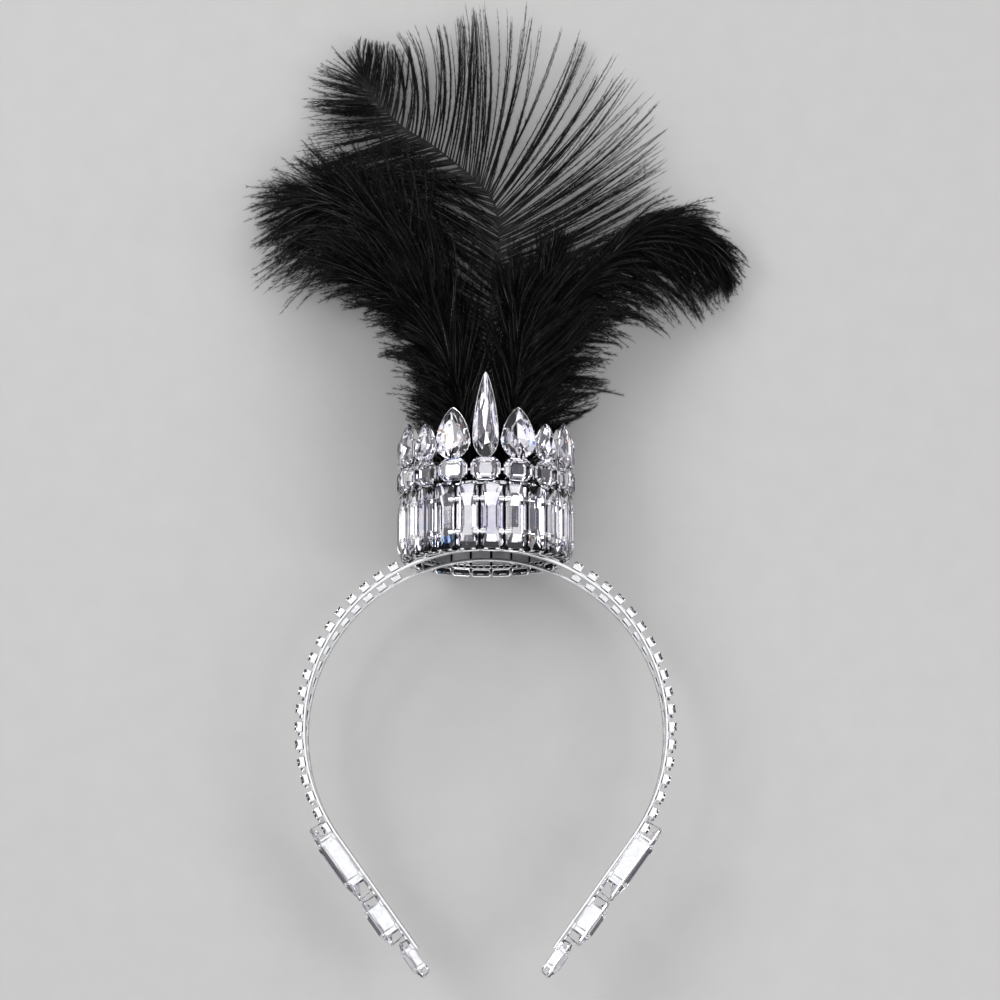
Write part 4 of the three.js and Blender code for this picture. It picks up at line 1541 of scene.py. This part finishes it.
# %% [markdown]
# The plume
#
# Seven feathers stand in the felt. The tall one at the back curls to the left at its tip, with a short
# dense vane on its left and long loose barbs that fan out to the right. One feather droops to each side.
# Four shorter ones fill the middle and the front. Scattering copies of one feather would be less work,
# but each of these has its own bend and its own outline, so each gets its own rows.
#
# A kind of vane says how its barbs behave. The pitch is the way from barb to barb, and crowd says where
# they stand closer. The clump is how many cling together, the hold how much they do so at the quill and
# the pull how much at the tip. Loose is how unlike they are, down the share of short ones, and cover the
# share that lies over the quill. The fringe is the way from barbule to barbule, the reach a barbule's
# length and the lean its angle to the barb, in radians.

# %% Kinds of vane
FAN = {
    "pitch": 0.46, "clump": 2.3, "hold": 0.7, "pull": 0.76, "loose": 0.6, "down": 0.1, "cover": 0.0,
    "fringe": 0.5, "reach": 2.7, "lean": 0.28,
    "crowd": [
        (0.0, 0.7), (0.4, 0.9), (0.5, 1.7), (0.63, 1.7), (0.72, 1.1), (0.86, 1.0), (0.95, 1.8), (1.0, 2.2),
    ],
}
CLOSE = {
    "pitch": 0.3, "clump": 3.5, "hold": 0.45, "pull": 0.45, "loose": 1.0, "down": 0.3, "cover": 0.0,
    "fringe": 0.7, "reach": 3.0, "lean": 0.4,
    "crowd": [(0.0, 1.0), (0.86, 1.0), (0.95, 1.7), (1.0, 2.0)],
}
SOFT = {
    "pitch": 0.3, "clump": 4.5, "hold": 0.0, "pull": 0.5, "loose": 1.5, "down": 0.3, "cover": 0.3,
    "fringe": 0.6, "reach": 3.4, "lean": 0.48,
    "crowd": [(0.0, 0.5), (0.15, 0.7), (0.25, 1.0), (0.75, 1.0), (0.9, 1.45), (1.0, 1.8)],
}
HANGING = {**SOFT, "pitch": 0.165, "clump": 3.4, "pull": 0.4, "loose": 1.2, "down": 0.35}
print("a vane is given by:", list(SOFT))

# %% The tall feather at the back
feather(
    "feather_back",
    spine=[
        (0, 14.3, -17), (0, 45, -17), (-0.4, 73, -17.5), (1.4, 100, -18.5), (4.5, 120, -19.5),
        (4.1, 139.7, -20), (-0.9, 150.3, -20.5), (-13.1, 161.7, -21), (-23, 169.6, -21.5),
        (-33.3, 176.4, -22), (-43.3, 186.7, -22.5), (-47.5, 193.5, -23), (-48.5, 198.5, -23),
    ],
    left=[
        (0.03, 12, 50, 0, 0, 0), (0.22, 24, 46, 10, 5, 2), (0.35, 44, 66, 4, 4, 3), (0.46, 56, 64, 2, 4, 3),
        (0.56, 58, 54, 4, 3, 3), (0.66, 56, 48, 2, 3, 2), (0.76, 52, 48, 0, 2, 2), (0.82, 45, 52, -4, 2, 2),
        (0.9, 31, 54, -8, 2, 2), (0.96, 22, 48, -6, 1, 1), (1.0, 14, 4, 0, 0, 0),
    ],
    right=[
        (0.03, 12, 50, 0, 0, 0), (0.22, 24, 36, 8, 5, 2), (0.4, 50, 52, -10, 4, 4),
        (0.5, 68, 66, -16, 3, 4), (0.556, 77, 65, -17, 3, 5), (0.607, 77, 58, -14, 2, 5),
        (0.63, 76, 57, -18, 2, 5), (0.667, 74, 57, -19, 2, 4), (0.71, 69, 55, -12, 2, 4),
        (0.76, 56, 62, -18, 2, 3), (0.823, 45, 72, -38, 2, 2), (0.9, 28, 58, -20, 2, 2),
        (0.96, 21, 46, -10, 1, 1), (1.0, 14, 4, 0, 0, 0),
    ],
    vanes=(CLOSE, FAN), seed=11, quill=0.78,
)

# %% The drooping side feathers
feather(
    "feather_left",
    spine=[
        (-9, 14.3, -6), (-9.5, 30, -6), (-11, 58, -6), (-17, 86, -5.5),
        (-28, 112, -5), (-42, 132, -6), (-55, 142, -9), (-65, 145, -13),
    ],
    left=[
        (0.03, 12, 50, 0, 0, 0), (0.2, 24, 56, 10, 6, 5), (0.32, 21, 48, 8, 6, 7), (0.48, 23, 48, 10, 6, 8),
        (0.6, 36, 54, 12, 6, 10), (0.7, 43, 63, 14, 6, 11), (0.8, 45, 68, 14, 6, 11),
        (0.9, 38, 62, 10, 4, 8), (0.96, 32, 40, 4, 2, 6), (1.0, 26, 14, 0, 0, 4),
    ],
    right=[
        (0.03, 12, 50, 0, 0, 0), (0.26, 30, 30, -8, 6, 4), (0.45, 54, 32, -28, 6, 5),
        (0.6, 56, 32, -34, 6, 6), (0.75, 46, 28, -32, 6, 8), (0.9, 33, 28, -14, 4, 8),
        (1.0, 26, 14, 0, 0, 4),
    ],
    vanes=(HANGING, SOFT), seed=23, quill=0.7,
)
feather(
    "feather_right",
    spine=[
        (9, 14.3, -6), (9.5, 30, -6), (12, 58, -6), (22, 86, -5.5), (36, 106, -5),
        (54, 124, -6), (70, 131, -9), (83, 129, -14), (90, 120, -20),
    ],
    left=[
        (0.03, 12, 50, 0, 0, 0), (0.26, 24, 28, -4, 6, 4), (0.45, 38, 18, -16, 7, 5),
        (0.6, 38, 18, -32, 7, 6), (0.75, 30, 22, -52, 6, 8), (0.88, 22, 26, -48, 4, 8),
        (1.0, 14, 12, 0, 0, 2),
    ],
    right=[
        (0.03, 12, 50, 0, 0, 0), (0.2, 33, 64, 10, 6, 5), (0.3, 32, 58, 12, 6, 7), (0.44, 28, 50, 16, 4, 8),
        (0.6, 35, 58, 24, 3, 11), (0.72, 38, 64, 24, 2, 12), (0.84, 31, 56, 20, 2, 9),
        (0.93, 21, 36, 10, 2, 6), (1.0, 13, 12, 0, 0, 2),
    ],
    vanes=(SOFT, HANGING), seed=37, quill=0.7,
)

# %% The middle feathers
feather(
    "feather_mid_left",
    spine=[(-9, 14.3, 5), (-10, 30, 5), (-13, 58, 5.5), (-22, 84, 8), (-35, 100, 10), (-47, 106, 11)],
    left=[
        (0.04, 12, 50, 0, 0, 0), (0.3, 20, 46, 14, 8, 4), (0.55, 22, 44, 12, 8, 6),
        (0.8, 24, 42, 10, 8, 8), (1.0, 20, 12, 0, 4, 4),
    ],
    right=[
        (0.04, 12, 50, 0, 0, 0), (0.3, 26, 26, -10, 8, 3), (0.55, 46, 22, -30, 8, 4),
        (0.8, 46, 24, -34, 8, 6), (1.0, 24, 12, 0, 4, 4),
    ],
    vanes=(SOFT, SOFT), seed=41, quill=0.45,
)
feather(
    "feather_mid_right",
    spine=[(9, 14.3, 5), (10, 30, 5), (13, 58, 5.5), (18, 84, 8), (21, 98, 10), (23, 106, 11)],
    left=[
        (0.04, 12, 50, 0, 0, 0), (0.3, 26, 24, -10, 8, 3), (0.55, 40, 18, -12, 8, 4),
        (0.8, 30, 14, -6, 8, 5), (1.0, 20, 8, 0, 4, 3),
    ],
    right=[
        (0.04, 12, 50, 0, 0, 0), (0.3, 26, 36, -4, 8, 4), (0.55, 42, 28, -8, 8, 5),
        (0.8, 34, 24, -4, 8, 6), (1.0, 20, 8, 0, 4, 3),
    ],
    vanes=(SOFT, SOFT), seed=53, quill=0.45,
)

# %% The front feathers
feather(
    "feather_front_left",
    spine=[(-8, 14.3, 15.5), (-8.5, 30, 15.5), (-10, 55, 16), (-16, 78, 19), (-24, 92, 21)],
    left=[
        (0.05, 12, 50, 0, 0, 0), (0.36, 24, 44, 14, 8, 3), (0.65, 30, 40, 14, 8, 5), (1.0, 22, 10, 0, 4, 3),
    ],
    right=[
        (0.05, 12, 50, 0, 0, 0), (0.36, 28, 24, -8, 8, 3), (0.65, 36, 20, -20, 8, 4), (1.0, 22, 10, 0, 4, 3),
    ],
    vanes=(SOFT, SOFT), seed=61, quill=0.4,
)
feather(
    "feather_front_right",
    spine=[(8, 14.3, 15.5), (8.5, 30, 15.5), (10, 55, 16), (12, 78, 19), (11, 94, 21.5)],
    left=[
        (0.05, 12, 50, 0, 0, 0), (0.36, 28, 28, -4, 8, 3), (0.65, 36, 28, 0, 8, 4), (1.0, 22, 10, 0, 4, 3),
    ],
    right=[
        (0.05, 12, 50, 0, 0, 0), (0.36, 26, 40, 8, 8, 3), (0.65, 34, 32, 0, 8, 5), (1.0, 22, 10, 0, 4, 3),
    ],
    vanes=(SOFT, SOFT), seed=71, quill=0.4,
)

# %% [markdown]
# The floor
#
# The floor is a plain sheet under everything. It isn't part of the object, so it rides on nothing.

# %% Floor
FLOOR_REACH = 3.0
FLOOR_CORNERS = [(-1, -1), (1, -1), (1, 1), (-1, 1)]

floor_mesh = bpy.data.meshes.new("floor")
floor_points = [(x * FLOOR_REACH, y * FLOOR_REACH, 0) for x, y in FLOOR_CORNERS]
floor_mesh.from_pydata(floor_points, [], [(0, 1, 2, 3)])
floor_mesh.materials.append(paper)
floor = bpy.data.objects.new("floor", floor_mesh)
bpy.context.scene.collection.objects.link(floor)
print("floor, metres across:", 2 * FLOOR_REACH)
